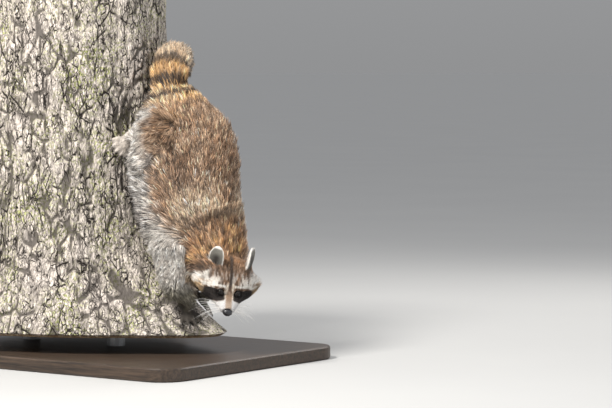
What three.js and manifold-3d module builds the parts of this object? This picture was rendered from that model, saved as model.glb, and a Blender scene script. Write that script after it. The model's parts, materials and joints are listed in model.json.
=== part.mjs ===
// A life-size raccoon that climbs head first down a cut length of tree trunk, on a display stand.
// Millimetres, +Z up. The origin is the centre of the stand's underside. The animal clings to the
// +X side of the trunk with its head down, so its own right side faces -Y and its left side +Y.
// The solids reach the tips of the coat. The flesh is one loft from tail to nose, with limbs joined
// on, and it is parted into named pieces by thin cuts.

import * as THREE from "three";
import { mergeVertices } from "three/addons/utils/BufferGeometryUtils.js";
import Module from "manifold-3d";

const wasm = await Module();
wasm.setup();

const rad = THREE.MathUtils.degToRad;
const vec = (x, y, z) => new THREE.Vector3(x, y, z);
const UP = vec(0, 0, 1);

// Clearance left between pieces that touch.
const gap = 0.3;

// ---- Driving sizes ------------------------------------------------------------------------------

const stand = {
  length: 830,
  width: 640,
  thickness: 30,
  cornerRadius: 60,
  bevel: 3,
  rodRadius: 21,
  rodHeight: 38,
  rodSpacing: 260,
  rodSides: 12,
};

// The trunk is cut off a little above the ground (`foot`) and above the tail (`height`).
const trunk = {
  radius: 230,
  foot: 22,
  height: 812,
  taper: 10,
  flareHeight: 300,
  flarePower: 2.1,
  flareBase: 12,
  ripple: 3.5,
  ripples: 11,
  rippleTwist: 90,
  sawnEdge: 12,
  sawnRise: 7.2,
  sides: 48,
  levels: 10,
  levelPower: 1.4,
};

// Root flares: compass angle round the trunk, how far each reaches out at the foot, and its width.
const roots = [
  { angle: 0, reach: 238, width: 27 },
  { angle: 72, reach: 70, width: 26 },
  { angle: 140, reach: 55, width: 30 },
  { angle: 205, reach: 50, width: 24 },
  { angle: 262, reach: 62, width: 28 },
  { angle: 312, reach: 50, width: 20 },
];

// The trunk's axis stands this far behind the middle of the base.
const trunkSetback = 126;

// ---- Solids and meshes --------------------------------------------------------------------------

function toSolid(geometry) {
  const bare = new THREE.BufferGeometry();
  bare.setAttribute("position", geometry.getAttribute("position"));
  bare.setIndex(geometry.index);
  const merged = mergeVertices(bare, 1e-3);
  return new wasm.Manifold(
    new wasm.Mesh({
      numProp: 3,
      vertProperties: merged.getAttribute("position").array,
      triVerts: new Uint32Array(merged.index.array),
    }),
  );
}

function toGeometry(solid) {
  const mesh = solid.getMesh();
  const geometry = new THREE.BufferGeometry();
  geometry.setAttribute("position", new THREE.BufferAttribute(mesh.vertProperties, 3));
  geometry.setIndex(new THREE.BufferAttribute(mesh.triVerts, 1));
  geometry.computeVertexNormals();
  return geometry;
}

const join = (solids) => solids.reduce((whole, piece) => whole.add(piece));
const cut = (solid, cutters) => cutters.reduce((rest, cutter) => rest.subtract(cutter), solid);

// Closed skin over a stack of equal rings, with a flat fan over each end.
function skinRings(rings) {
  const sides = rings[0].length;
  const points = rings.flat();
  const centres = [rings[0], rings.at(-1)].map((ring) =>
    ring.reduce((sum, point) => sum.add(point), vec(0, 0, 0)).divideScalar(sides),
  );
  const index = [];
  for (let ring = 0; ring + 1 < rings.length; ring += 1) {
    for (let side = 0; side < sides; side += 1) {
      const next = (side + 1) % sides;
      const [a, b] = [ring * sides + side, ring * sides + next];
      const [c, d] = [a + sides, b + sides];
      index.push(a, b, d, a, d, c);
    }
  }
  const first = points.length;
  const lastRing = (rings.length - 1) * sides;
  for (let side = 0; side < sides; side += 1) {
    const next = (side + 1) % sides;
    index.push(first, next, side);
    index.push(first + 1, lastRing + side, lastRing + next);
  }
  const geometry = new THREE.BufferGeometry().setFromPoints([...points, ...centres]);
  geometry.setIndex(index);
  return geometry;
}

// One section of a body: an oval that may be taller above than below, with pointed (power under 2)
// or square (over 2) flanks, and bowed forward at its edges like an ear.
function sectionRing(centre, along, up, size, sides) {
  const across = up.clone().cross(along).normalize();
  const above = along.clone().cross(across).normalize();
  const ring = [];
  for (let side = 0; side < sides; side += 1) {
    const turn = (2 * Math.PI * side) / sides;
    const [cos, sin] = [Math.cos(turn), Math.sin(turn)];
    const power = 2 / size.power;
    const x = Math.sign(cos) * Math.abs(cos) ** power;
    const y = Math.sign(sin) * Math.abs(sin) ** power;
    const lift = y * (y > 0 ? size.top : size.low) + size.bow * x * x;
    ring.push(centre.clone().addScaledVector(across, x * size.half).addScaledVector(above, lift));
  }
  return ring;
}

const smoothCurve = (points) => new THREE.CatmullRomCurve3(points, false, "catmullrom", 0.5);

// A chain of section keys, each { at, up, half, top, low, power, bow }, that can be sampled anywhere
// between its first key (0) and its last.
class Chain {
  constructor(keys) {
    this.last = keys.length - 1;
    this.path = smoothCurve(keys.map((key) => key.at));
    this.ups = smoothCurve(keys.map((key) => key.up));
    this.sizes = smoothCurve(keys.map((key) => vec(key.half, key.top, key.low)));
    this.shapes = smoothCurve(keys.map((key) => vec(key.power ?? 2, key.bow ?? 0, 0)));
  }

  ring(place, sides, grow, shift) {
    const t = place / this.last;
    const along = this.path.getTangent(t);
    const centre = this.path.getPoint(t).addScaledVector(along, shift);
    const [half, top, low] = this.sizes.getPoint(t).toArray();
    const [power, bow] = this.shapes.getPoint(t).toArray();
    const size = { half: half + grow, top: top + grow, low: low + grow, power, bow };
    return sectionRing(centre, along, this.ups.getPoint(t), size, sides);
  }

  // The solid from key `from` to key `to`. `grow` makes it a cutter for its neighbours, and a
  // negative `endShift` keeps it clear of the next length of the same chain.
  solid(from, to, steps, sides, { grow = 0, endShift = grow } = {}) {
    const rings = [];
    for (let step = 0; step <= steps; step += 1) {
      const place = from + ((to - from) * step) / steps;
      const shift = step === 0 ? -endShift : step === steps ? endShift : 0;
      rings.push(this.ring(place, sides, grow, shift));
    }
    return toSolid(skinRings(rings));
  }
}

// A straight piece of limb with round ends, thick `radii[0]` at `from` and `radii[1]` at `to`. Each
// end is a dome of a few rings, the smallest `domeTip` off the limb's axis.
const domeTip = rad(8);
const domeSteps = 2;

function limb(from, to, radii, { sides = 10, grow = 0, flat = 1, up = UP } = {}) {
  const along = to.clone().sub(from).normalize();
  const stations = [];
  for (let step = 0; step <= domeSteps; step += 1) {
    const turn = THREE.MathUtils.lerp(domeTip, Math.PI / 2, step / domeSteps);
    stations.push({ end: 0, back: Math.cos(turn), scale: Math.sin(turn) });
  }
  const mirrored = stations.map((station) => ({ ...station, end: 1 })).reverse();
  const rings = [...stations, ...mirrored].map(({ end, back, scale }) => {
    const radius = radii[end] + grow;
    const centre = (end ? to : from).clone().addScaledVector(along, (end ? 1 : -1) * back * radius);
    const size = { half: radius * scale, top: radius * scale * flat, low: radius * scale * flat };
    return sectionRing(centre, along, up, { ...size, power: 2, bow: 0 }, sides);
  });
  return toSolid(skinRings(rings));
}

// ---- Trunk --------------------------------------------------------------------------------------

// Distance from the trunk's axis to its bark at a compass angle and a height.
function barkRadius(angle, height) {
  const low = Math.max(0, 1 - height / trunk.flareHeight) ** trunk.flarePower;
  const flare = roots.reduce((sum, root) => {
    const turn = angle - rad(root.angle) + Math.PI;
    const away = THREE.MathUtils.euclideanModulo(turn, 2 * Math.PI) - Math.PI;
    return sum + root.reach * Math.exp(-((away / rad(root.width)) ** 2));
  }, trunk.flareBase);
  const ripple = trunk.ripple * Math.cos(trunk.ripples * angle + height / trunk.rippleTwist);
  return trunk.radius - (trunk.taper * height) / trunk.height + flare * low + ripple;
}

const aroundTrunk = (angle, radius, height) =>
  vec(radius * Math.cos(angle), radius * Math.sin(angle), height);

const barkPoint = (angle, height) => aroundTrunk(angle, barkRadius(angle, height), height);

// Steps round and up the trunk over which the slope of its bark is taken.
const slopeStep = { turn: 0.02, rise: 4 };

function barkNormal(angle, height) {
  const { turn, rise } = slopeStep;
  const along = barkPoint(angle + turn, height).sub(barkPoint(angle - turn, height));
  const upward = barkPoint(angle, height + rise).sub(barkPoint(angle, height - rise));
  return along.cross(upward).normalize();
}

// The point `height` above the bark that is nearest to a point beside the trunk.
function aboveBark(point, lift) {
  const angle = Math.atan2(point.y, point.x);
  return barkPoint(angle, point.z).addScaledVector(barkNormal(angle, point.z), lift);
}

function trunkRing(height, inset) {
  return Array.from({ length: trunk.sides }, (_, side) => {
    const angle = (2 * Math.PI * side) / trunk.sides;
    return aroundTrunk(angle, barkRadius(angle, height) - inset, height);
  });
}

// The rings stand closer together at the foot, where the roots curve most.
function trunkSolid(grow) {
  const rings = [trunkRing(trunk.foot, trunk.sawnEdge - grow)];
  for (let level = 0; level <= trunk.levels; level += 1) {
    const spread = (level / trunk.levels) ** trunk.levelPower;
    const height = THREE.MathUtils.lerp(trunk.foot + trunk.sawnRise, trunk.height, spread);
    rings.push(trunkRing(height, -grow));
  }
  return toSolid(skinRings(rings));
}

const log = trunkSolid(0);
const bark = trunkSolid(gap);

// ---- Spine, from the tail's tip to the nose -----------------------------------------------------

// The torso rolls a little towards the animal's right.
const torsoRoll = rad(15);
const back = vec(Math.cos(torsoRoll), -Math.sin(torsoRoll), 0);

// The head turns to the animal's right of straight out, nods down and tips over a little.
const headTurn = rad(-51);
const headNod = rad(58);
const headTip = rad(13);
const noseTip = vec(496, -53, 79);

// The head's own axes: `face` runs out through the nose, `crown` out of the top of the skull and
// `cheek` towards the animal's left.
const ahead = vec(Math.cos(headTurn), Math.sin(headTurn), 0);
const face = ahead.multiplyScalar(Math.cos(headNod)).addScaledVector(UP, -Math.sin(headNod));
const level = vec(-Math.sin(headTurn), Math.cos(headTurn), 0);
const upright = face.clone().cross(level).multiplyScalar(Math.cos(headTip));
const crown = upright.addScaledVector(level, Math.sin(headTip));
const cheek = crown.clone().cross(face);

// A place in the head: how far behind the nose's tip, how far to the animal's left, how far up.
function inHead(behind, left, above) {
  const place = noseTip.clone().addScaledVector(face, -behind);
  return place.addScaledVector(cheek, left).addScaledVector(crown, above);
}

// Tail: height, angle round the trunk, distance from its axis, and half thickness.
const tailKeys = [
  [596, 48, 241, 8],
  [605, 42.5, 247, 20],
  [620, 34.5, 254, 27],
  [634, 26, 259, 32],
  [643, 17.5, 265, 37],
  [644, 10, 273, 41],
  [634, 4.5, 281, 45],
  [613, 1.4, 288, 48],
  [590, 0, 294, 51],
].map(([height, angle, distance, radius]) => ({
  at: aroundTrunk(rad(angle), distance, height),
  up: vec(Math.cos(rad(angle)), Math.sin(rad(angle)), 0),
  half: radius,
  top: radius,
  low: radius,
}));

// Torso: height, distance from the trunk's axis, half width, depth above and depth below.
const torsoKeys = [
  [566, 300, 54, 47, 50],
  [545, 306, 71, 59, 66],
  [515, 313, 98, 76, 78],
  [480, 321, 120, 95, 86],
  [440, 328, 130, 108, 92],
  [395, 334, 131, 112, 99],
  [345, 342, 125, 110, 103],
  [295, 355, 119, 110, 104],
  [252, 373, 116, 110, 102],
].map(([height, distance, half, top, low]) => ({
  at: vec(distance, 0, height),
  up: back,
  half,
  top,
  low,
}));

// The neck runs on from the torso and ends inside the skull.
const neckKeys = [
  { at: vec(394, -1, 224), up: vec(0.9, -0.29, 0.2), half: 105, top: 99, low: 94 },
  { at: vec(422, -8, 196), up: vec(0.82, -0.36, 0.4), half: 86, top: 76, low: 76 },
  { at: vec(443, -16, 172), up: vec(0.75, -0.43, 0.5), half: 70, top: 57, low: 64 },
  { at: inHead(84, 0, -4), up: crown, half: 54, top: 40, low: 48 },
];

// Head: distance behind the nose's tip, half width, height above and depth below the axis, and how
// pointed the flanks are, where the cheek ruffs stand out.
const headKeys = [
  [133, 16, 14, 15, 2],
  [129, 40, 34, 36, 2],
  [119, 59, 47, 53, 2],
  [106, 66, 50, 58, 1.9],
  [93, 74, 50, 56, 1.75],
  [81, 80, 48, 53, 1.65],
  [69, 74, 44, 49, 1.7],
  [57, 63, 36, 43, 1.85],
  [46, 47, 27, 36, 2],
  [34, 32, 19, 28, 2.1],
  [20, 23, 15, 21, 2.1],
  [9, 15, 11, 14, 2],
  [3, 8, 7, 8, 2],
].map(([behind, half, top, low, power]) => ({
  at: inHead(behind, 0, 0),
  up: crown,
  half,
  top,
  low,
  power,
}));

const spine = new Chain([...tailKeys, ...torsoKeys, ...neckKeys]);
const skull = new Chain(headKeys);
const bodySides = 20;
const torsoStart = tailKeys.length;
const neckStart = torsoStart + torsoKeys.length - 1;
const tailCuts = [0, 3, 6, torsoStart];
const torsoSteps = 12;
const neckSteps = 7;
const headSteps = 16;

const parted = { endShift: -gap / 2 };
const grown = { grow: gap };
const torsoSolid = (options) => spine.solid(torsoStart, neckStart, torsoSteps, bodySides, options);
const neckSolid = (options) => spine.solid(neckStart, spine.last, neckSteps, bodySides, options);
const skullSolid = (options) => skull.solid(0, skull.last, headSteps, bodySides, options);

// ---- Head pieces --------------------------------------------------------------------------------

const ballSegments = 12;
const ballRings = 6;
const eye = { radius: 8.4, behind: 44, apart: 39, above: 19 };
const nosePad = { halfWidth: 11.5, halfHeight: 9, halfDepth: 9, behind: 5, above: 1.5 };
const ear = {
  behind: { "-1": 101, 1: 106 },
  out: { "-1": 35.5, 1: 39.5 },
  above: 34,
  height: 52,
  halfWidth: 20,
  thickness: 5,
  root: 14,
  back: 0.59,
  openOut: { "-1": 0.45, 1: 1.5 },
};

function eyeball(side, grow) {
  const ball = new THREE.SphereGeometry(eye.radius + grow, ballSegments, ballRings);
  const middle = inHead(eye.behind, (side * eye.apart) / 2, eye.above);
  return toSolid(ball.translate(...middle.toArray()));
}

function nose(grow) {
  const pad = new THREE.SphereGeometry(1, ballSegments, ballRings);
  const sizes = [nosePad.halfDepth + grow, nosePad.halfWidth + grow, nosePad.halfHeight + grow];
  pad.scale(...sizes);
  pad.applyMatrix4(new THREE.Matrix4().makeBasis(face, cheek, crown));
  return toSolid(pad.translate(...inHead(nosePad.behind, 0, nosePad.above).toArray()));
}

// An ear is an upright cup. The right one is open forward and the left one outward.
function earSolid(side, grow) {
  const base = inHead(ear.behind[side], side * ear.out[side], ear.above);
  const rise = face.clone().multiplyScalar(-ear.back).addScaledVector(crown, 1);
  rise.normalize();
  const front = face.clone().addScaledVector(cheek, side * ear.openOut[side]).normalize();
  const keys = [
    [-ear.root, 0.7, 1.7, 0],
    [0, 0.86, 1.6, 2],
    [ear.height * 0.35, 1, 1.15, 6],
    [ear.height * 0.68, 0.95, 0.9, 6],
    [ear.height * 0.9, 0.64, 0.7, 3],
    [ear.height, 0.24, 0.5, 0],
  ].map(([height, wide, thick, bow]) => ({
    at: base.clone().addScaledVector(rise, height),
    up: front,
    half: ear.halfWidth * wide,
    top: ear.thickness * thick,
    low: ear.thickness * thick,
    bow,
  }));
  return new Chain(keys).solid(0, keys.length - 1, 8, 12, { grow });
}

// ---- Limbs --------------------------------------------------------------------------------------

// Joint places of each limb, from the body outwards, with half thicknesses. `side` is -1 for the
// animal's right and +1 for its left. The limbs reach a little differently on the two sides.
const forelegJoints = {
  "-1": { shoulder: vec(362, -74, 232), elbow: vec(368, -77, 152), wrist: vec(388, -48, 99) },
  1: { shoulder: vec(362, 72, 232), elbow: vec(352, 78, 156), wrist: vec(352, 64, 110) },
};
const forelegRadii = [58, 38, 15];
const hindlegJoints = {
  "-1": { hip: vec(330, -80, 470), knee: vec(308, -106, 424), heel: vec(254, -60, 476) },
  1: { hip: vec(312, 80, 470), knee: vec(290, 112, 424), heel: vec(254, 60, 476) },
};
const hindlegRadii = [64, 41, 18];

function forelegSolid(side, grow) {
  const { shoulder, elbow, wrist } = forelegJoints[side];
  const [top, middle, end] = forelegRadii;
  const upper = limb(shoulder, elbow, [top, middle], { grow });
  return upper.add(limb(elbow, wrist, [middle, end], { grow }));
}

function hindlegSolid(side, grow) {
  const { hip, knee, heel } = hindlegJoints[side];
  const [top, middle, end] = hindlegRadii;
  const thigh = limb(hip, knee, [top, middle], { grow });
  return thigh.add(limb(knee, heel, [middle, end], { grow }));
}

// ---- Paws ---------------------------------------------------------------------------------------

// Sizes of a paw. The outer toes are `shorter` than the middle one by that times their place
// squared, `fan` is the space from toe to toe, and the lifts are heights above the bark.
const paws = {
  fore: {
    palm: 28,
    palmWidth: 16,
    thickness: 9,
    toe: 29,
    shorter: 2.2,
    toeRadius: 5.4,
    claw: 12,
    spread: 16,
    fan: 6.8,
    wristLift: 4,
  },
  hind: {
    palm: 56,
    palmWidth: 18,
    thickness: 11,
    toe: 26,
    shorter: 2.2,
    toeRadius: 6,
    claw: 12,
    spread: 13,
    fan: 7.6,
    wristLift: 4,
  },
};
const narrowHeel = 0.82;
const toePlaces = [-2, -1, 0, 1, 2];

// Stations along a toe and its claw: the part of the toe's reach, the part of the claw, how thick
// it is against the toe, and how far its middle lies above the bark, in toe radii and millimetres.
const toeStations = [
  { toe: 0, claw: 0, thick: 1, radii: 1, lift: 2 },
  { toe: 0.55, claw: 0, thick: 1, radii: 1, lift: 4 },
  { toe: 1, claw: 0, thick: 0.8, radii: 1, lift: 1 },
  { toe: 1, claw: 0.6, thick: 0.34, radii: 0, lift: 4.5 },
  { toe: 1, claw: 1, thick: 0.14, radii: 0, lift: 1.8 },
];
const toeStart = 2;

// Where each paw's toes start on the bark, and where they point: `turn` is measured from straight
// down the trunk towards the animal's own side.
const pawPlaces = {
  fore: { "-1": { angle: -6, height: 67, turn: -14 }, 1: { angle: 10.2, height: 86, turn: -2 } },
  hind: { "-1": { angle: -19.3, height: 456, turn: 50 }, 1: { angle: 19.3, height: 456, turn: 50 } },
};

// A paw lies on the bark: a palm that runs back to the wrist or heel, five toes and their claws.
// Only the palm reaches the leg, so a grown paw is the palm alone.
function pawSolid(kind, side, grow) {
  const sizes = paws[kind];
  const place = pawPlaces[kind][side];
  const angle = rad(place.angle);
  const start = barkPoint(angle, place.height);
  const normal = barkNormal(angle, place.height);
  const around = UP.clone().cross(normal).normalize();
  const down = around.clone().cross(normal).normalize();
  const turn = rad(place.turn) * side;
  const pointing = (extra) => {
    const downward = down.clone().multiplyScalar(Math.cos(turn + extra));
    return downward.addScaledVector(around, Math.sin(turn + extra));
  };
  const on = (direction, distance, sideways, lift) => {
    const away = start.clone().addScaledVector(direction, distance);
    return aboveBark(away.addScaledVector(pointing(Math.PI / 2), sideways), lift);
  };
  const heel = on(pointing(0), -sizes.palm, 0, sizes.thickness + sizes.wristLift);
  const ball = on(pointing(0), 0, 0, sizes.thickness + sizes.wristLift / 2);
  const flat = sizes.thickness / sizes.palmWidth;
  const palmRadii = [sizes.palmWidth * narrowHeel, sizes.palmWidth];
  const palm = limb(heel, ball, palmRadii, { sides: 8, grow, flat, up: normal });
  if (grow > 0) return palm;
  const toes = toePlaces.map((toePlace) => {
    const direction = pointing(rad(toePlace * sizes.spread));
    const reach = sizes.toe - sizes.shorter * toePlace * toePlace;
    const keys = toeStations.map((station) => {
      const distance = toeStart + station.toe * reach + station.claw * sizes.claw;
      const lift = station.radii * sizes.toeRadius + station.lift;
      const radius = sizes.toeRadius * station.thick;
      const at = on(direction, distance, toePlace * sizes.fan, lift);
      return { at, up: normal, half: radius, top: radius, low: radius };
    });
    return new Chain(keys).solid(0, keys.length - 1, 4, 6);
  });
  return join([palm, ...toes]);
}

// ---- Assembly -----------------------------------------------------------------------------------

const colours = {
  greyBrown: 0x8a7a66,
  rust: 0x9a6a3c,
  pale: 0xb8aa94,
  mask: 0x6d5f54,
  ring: 0xb07a3e,
  tailTip: 0x2e241d,
  paw: 0x4a3f36,
  earRim: 0xe4dfd4,
  gloss: 0x0c0a0a,
  bark: 0x8b8374,
  board: 0x2b2a28,
  steel: 0xa9abad,
};

function piece(name, solid, color, roughness = 0.85, metalness = 0) {
  const material = new THREE.MeshStandardMaterial({ color, roughness, metalness });
  const mesh = new THREE.Mesh(toGeometry(solid), material);
  mesh.name = name;
  return mesh;
}

const sides = [-1, 1];
const sideName = { "-1": "right", 1: "left" };

const exhibit = new THREE.Group();
exhibit.position.set(-trunkSetback, 0, stand.thickness + stand.rodHeight + 2 * gap - trunk.foot);
exhibit.add(piece("perch_log", log, colours.bark, 0.95));

const bodyGrown = join([torsoSolid(grown), neckSolid(grown)]);
const skullGrown = skullSolid(grown);
const palms = sides.flatMap((side) => [pawSolid("fore", side, gap), pawSolid("hind", side, gap)]);
const sockets = [eyeball(-1, gap), eyeball(1, gap), nose(gap)];

exhibit.add(piece("torso", torsoSolid(parted), colours.greyBrown));
exhibit.add(piece("neck", cut(neckSolid(parted), [skullGrown]), colours.rust));
exhibit.add(piece("head", cut(skullSolid({}), sockets), colours.mask));
exhibit.add(piece("nose", nose(0), colours.gloss, 0.3));

["tail_tip", "tail_middle", "tail_base"].forEach((name, index) => {
  const length = spine.solid(tailCuts[index], tailCuts[index + 1], 5, bodySides, parted);
  exhibit.add(piece(name, length, index === 0 ? colours.tailTip : colours.ring));
});

sides.forEach((side) => {
  const name = sideName[side];
  const forepaw = cut(pawSolid("fore", side, 0), [bark]);
  const hindfoot = cut(pawSolid("hind", side, 0), [bark, bodyGrown]);
  exhibit.add(piece(`forepaw_${name}`, forepaw, colours.paw));
  exhibit.add(piece(`hindfoot_${name}`, hindfoot, colours.paw));
  const foreleg = cut(forelegSolid(side, 0), [bodyGrown, ...palms]);
  const hindleg = cut(hindlegSolid(side, 0), [bodyGrown, ...palms]);
  const earCup = cut(earSolid(side, 0), [skullGrown, bodyGrown]);
  exhibit.add(piece(`foreleg_${name}`, foreleg, colours.pale));
  exhibit.add(piece(`hindleg_${name}`, hindleg, colours.pale));
  exhibit.add(piece(`ear_${name}`, earCup, colours.earRim));
  exhibit.add(piece(`eye_${name}`, eyeball(side, 0), colours.gloss, 0.1));
});

// ---- Stand --------------------------------------------------------------------------------------

function boardOutline() {
  const x = stand.length / 2 - stand.bevel;
  const y = stand.width / 2 - stand.bevel;
  const r = stand.cornerRadius;
  const outline = new THREE.Shape();
  outline.moveTo(-x + r, -y);
  outline.lineTo(x - r, -y);
  outline.absarc(x - r, -y + r, r, -Math.PI / 2, 0);
  outline.absarc(x - r, y - r, r, 0, Math.PI / 2);
  outline.absarc(-x + r, y - r, r, Math.PI / 2, Math.PI);
  outline.absarc(-x + r, -y + r, r, Math.PI, 1.5 * Math.PI);
  return outline;
}

const board = new THREE.ExtrudeGeometry(boardOutline(), {
  depth: stand.thickness - 2 * stand.bevel,
  bevelThickness: stand.bevel,
  bevelSize: stand.bevel,
  bevelSegments: 1,
  curveSegments: 4,
});
board.translate(0, 0, stand.bevel);

const part = new THREE.Group();
part.add(exhibit);
part.add(piece("stand_base", toSolid(board), colours.board, 0.4));
["stand_rod_back", "stand_rod_front"].forEach((name, index) => {
  const { rodRadius, rodHeight, rodSides } = stand;
  const rod = new THREE.CylinderGeometry(rodRadius, rodRadius, rodHeight, rodSides);
  const mesh = piece(name, toSolid(rod), colours.steel, 0.3, 1);
  mesh.rotation.x = Math.PI / 2;
  const x = (index - 0.5) * stand.rodSpacing - trunkSetback;
  mesh.position.set(x, 0, stand.thickness + gap + rodHeight / 2);
  part.add(mesh);
});

export default part;
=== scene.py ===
"""A life-size raccoon that climbs head first down a cut length of tree trunk, on a display stand."""

import json
import logging
import math
from collections.abc import Callable, Iterator
from contextlib import contextmanager
from dataclasses import dataclass, field
from enum import Enum

import bmesh
import bpy
import numpy as np
from bpy.types import ID, Material, Mesh, Node, NodeSocket, NodeTree, Object
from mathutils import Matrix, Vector
from mathutils.bvhtree import BVHTree
from mathutils.kdtree import KDTree

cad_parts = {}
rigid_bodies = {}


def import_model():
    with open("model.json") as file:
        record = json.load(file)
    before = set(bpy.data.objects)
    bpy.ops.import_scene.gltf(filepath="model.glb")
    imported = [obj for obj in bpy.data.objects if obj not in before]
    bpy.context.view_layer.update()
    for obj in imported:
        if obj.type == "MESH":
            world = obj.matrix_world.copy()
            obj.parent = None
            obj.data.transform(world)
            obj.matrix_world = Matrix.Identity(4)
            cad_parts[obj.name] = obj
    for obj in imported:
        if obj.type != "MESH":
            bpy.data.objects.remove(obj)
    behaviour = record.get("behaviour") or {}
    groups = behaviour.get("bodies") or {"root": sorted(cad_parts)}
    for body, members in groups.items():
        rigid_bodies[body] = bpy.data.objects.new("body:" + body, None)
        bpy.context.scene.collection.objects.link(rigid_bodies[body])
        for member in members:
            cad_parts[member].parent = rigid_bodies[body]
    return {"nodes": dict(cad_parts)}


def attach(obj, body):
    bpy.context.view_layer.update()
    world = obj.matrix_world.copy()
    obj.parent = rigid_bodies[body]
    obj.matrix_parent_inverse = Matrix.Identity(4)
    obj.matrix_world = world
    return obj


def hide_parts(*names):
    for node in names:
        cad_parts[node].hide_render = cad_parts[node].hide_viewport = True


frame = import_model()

log = logging.getLogger("raccoon")

Array = np.ndarray

MM = 0.001
UV_NAME = "OFBake"
BODY = "root"
RIGHT = -1
LEFT = 1
SIDE_NAMES = {RIGHT: "right", LEFT: "left"}
WORLD_UP = np.array([0.0, 0.0, 1.0])

# The trunk's axis and the height of its own zero, in the display's frame.
TRUNK_ORIGIN = np.array([-0.126, 0.0, 0.0466])


# ---- Small tools ----


def from_trunk(place: object) -> Array:
    """Turns millimetres measured from the trunk's axis into metres in the display's frame."""
    return TRUNK_ORIGIN + np.asarray(place, dtype=float) * MM


def unit(rows: Array) -> Array:
    """Scales each row (or one vector) to length one."""
    return rows / np.maximum(np.linalg.norm(rows, axis=-1, keepdims=True), 1e-12)


def ramp(low: float, high: float, value: Array) -> Array:
    """Rises smoothly from 0 at `low` to 1 at `high`, or falls where `high` is the lower one."""
    part = np.clip((value - low) / (high - low), 0.0, 1.0)
    return part * part * (3.0 - 2.0 * part)


def hump(value: Array, centre: float, width: float) -> Array:
    """A soft bell of height 1 round `centre`."""
    return np.exp(-(((value - centre) / width) ** 2))


def lattice_noise(cells: Array, seed: int) -> Array:
    """Random numbers from -1 to 1 that belong to whole-number cells.

    Args:
        cells: Integer cell places, one row each.
        seed: Number that picks one field out of many.

    Returns:
        One number for each row.
    """
    c = cells.astype(np.uint64)
    mixed = c[:, 0] * np.uint64(73856093) ^ c[:, 1] * np.uint64(19349663)
    mixed = mixed ^ c[:, 2] * np.uint64(83492791) ^ np.uint64(seed * 2654435761 % 4294967291)
    mixed = (mixed ^ (mixed >> np.uint64(13))) * np.uint64(1274126177)
    mixed = (mixed ^ (mixed >> np.uint64(16))) % np.uint64(65536)
    return mixed.astype(float) / 32767.5 - 1.0


def cloud(points: Array, size: float, seed: int) -> Array:
    """A smooth random field from about -1 to 1.

    Args:
        points: Places in metres.
        size: Width of one blotch in metres.
        seed: Number that picks one field out of many.

    Returns:
        The field at each place.
    """
    scaled = points / size + 1000.0
    cell = np.floor(scaled).astype(np.int64)
    part = ramp(0, 1, scaled - cell)
    total = np.zeros(len(points))
    for corner in np.ndindex(2, 2, 2):
        share = np.ones(len(points))
        for axis in range(3):
            share *= part[:, axis] if corner[axis] else 1.0 - part[:, axis]
        total += share * lattice_noise(cell + np.array(corner), seed)
    return total


def curve_through(keys: Array, steps: int) -> Array:
    """Runs a smooth curve through key rows.

    Args:
        keys: One row for each key.
        steps: Rows made for each span between two keys.

    Returns:
        The rows of the curve, the last key included.
    """
    padded = np.vstack([2 * keys[0] - keys[1], keys, 2 * keys[-1] - keys[-2]])
    t = np.linspace(0.0, 1.0, steps, endpoint=False)[:, None]
    spans = []
    for index in range(len(keys) - 1):
        a, b, c, d = padded[index : index + 4]
        cubic = (-a + 3 * b - 3 * c + d) * t**3
        spans.append(0.5 * (2 * b + (c - a) * t + (2 * a - 5 * b + 4 * c - d) * t**2 + cubic))
    return np.vstack([*spans, keys[-1:]])


def relax(values: Array, edges: Array, passes: int, strength: object = 0.5) -> Array:
    """Evens out values over a mesh by moving each towards its neighbours' mean.

    Args:
        values: One row for each vertex.
        edges: Pairs of vertex numbers.
        passes: How often to repeat.
        strength: Share of the way to the mean, one number or one for each vertex.

    Returns:
        The evened rows.
    """
    count = len(values)
    ends, others = np.concatenate([edges, edges[:, ::-1]]).T
    degree = np.maximum(np.bincount(ends, minlength=count), 1)[:, None]
    result = values.astype(float)
    for _ in range(passes):
        sums = [np.bincount(ends, weights=column[others], minlength=count) for column in result.T]
        result += strength * (np.stack(sums, axis=1) / degree - result)
    return result


def read_rows(parts: object, name: str, width: int, kind: type = float) -> Array:
    """Reads one property of all of a mesh's vertices, edges or faces, `width` numbers a row."""
    values = np.empty(len(parts) * width, dtype=kind)
    parts.foreach_get(name, values)
    return values.reshape(-1, width)


def read_points(mesh: Mesh, name: str = "co") -> Array:
    """Reads a vector of every vertex of a mesh, its place or its normal."""
    return read_rows(mesh.vertices, name, 3)


def write_points(mesh: Mesh, points: Array) -> None:
    """Moves every vertex of a mesh to its new place."""
    mesh.vertices.foreach_set("co", points.astype(np.float32).ravel())
    mesh.update()


def read_edges(mesh: Mesh) -> Array:
    """Reads the pairs of vertex numbers of a mesh's edges."""
    return read_rows(mesh.edges, "vertices", 2, np.int64)


def read_triangles(mesh: Mesh) -> Array:
    """Reads a mesh as triangles of vertex numbers."""
    mesh.calc_loop_triangles()
    return read_rows(mesh.loop_triangles, "vertices", 3, np.int64)


def write_colour(mesh: Mesh, name: str, colours: Array) -> None:
    """Stores one linear colour for each vertex under `name`."""
    full = np.column_stack([colours, np.ones(len(colours))]).astype(np.float32)
    mesh.color_attributes.new(name, "FLOAT_COLOR", "POINT").data.foreach_set("color", full.ravel())


def write_number(mesh: Mesh, name: str, numbers: Array) -> None:
    """Stores one number for each vertex under `name`."""
    mesh.attributes.new(name, "FLOAT", "POINT").data.foreach_set("value", numbers.astype(np.float32))


def select_none() -> None:
    """Deselects every object, and leaves none active."""
    for chosen in list(bpy.context.selected_objects):
        chosen.select_set(False)
    bpy.context.view_layer.objects.active = None


def make_active(thing: Object) -> None:
    """Makes one object the only selected and active one."""
    select_none()
    thing.select_set(True)
    bpy.context.view_layer.objects.active = thing


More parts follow.
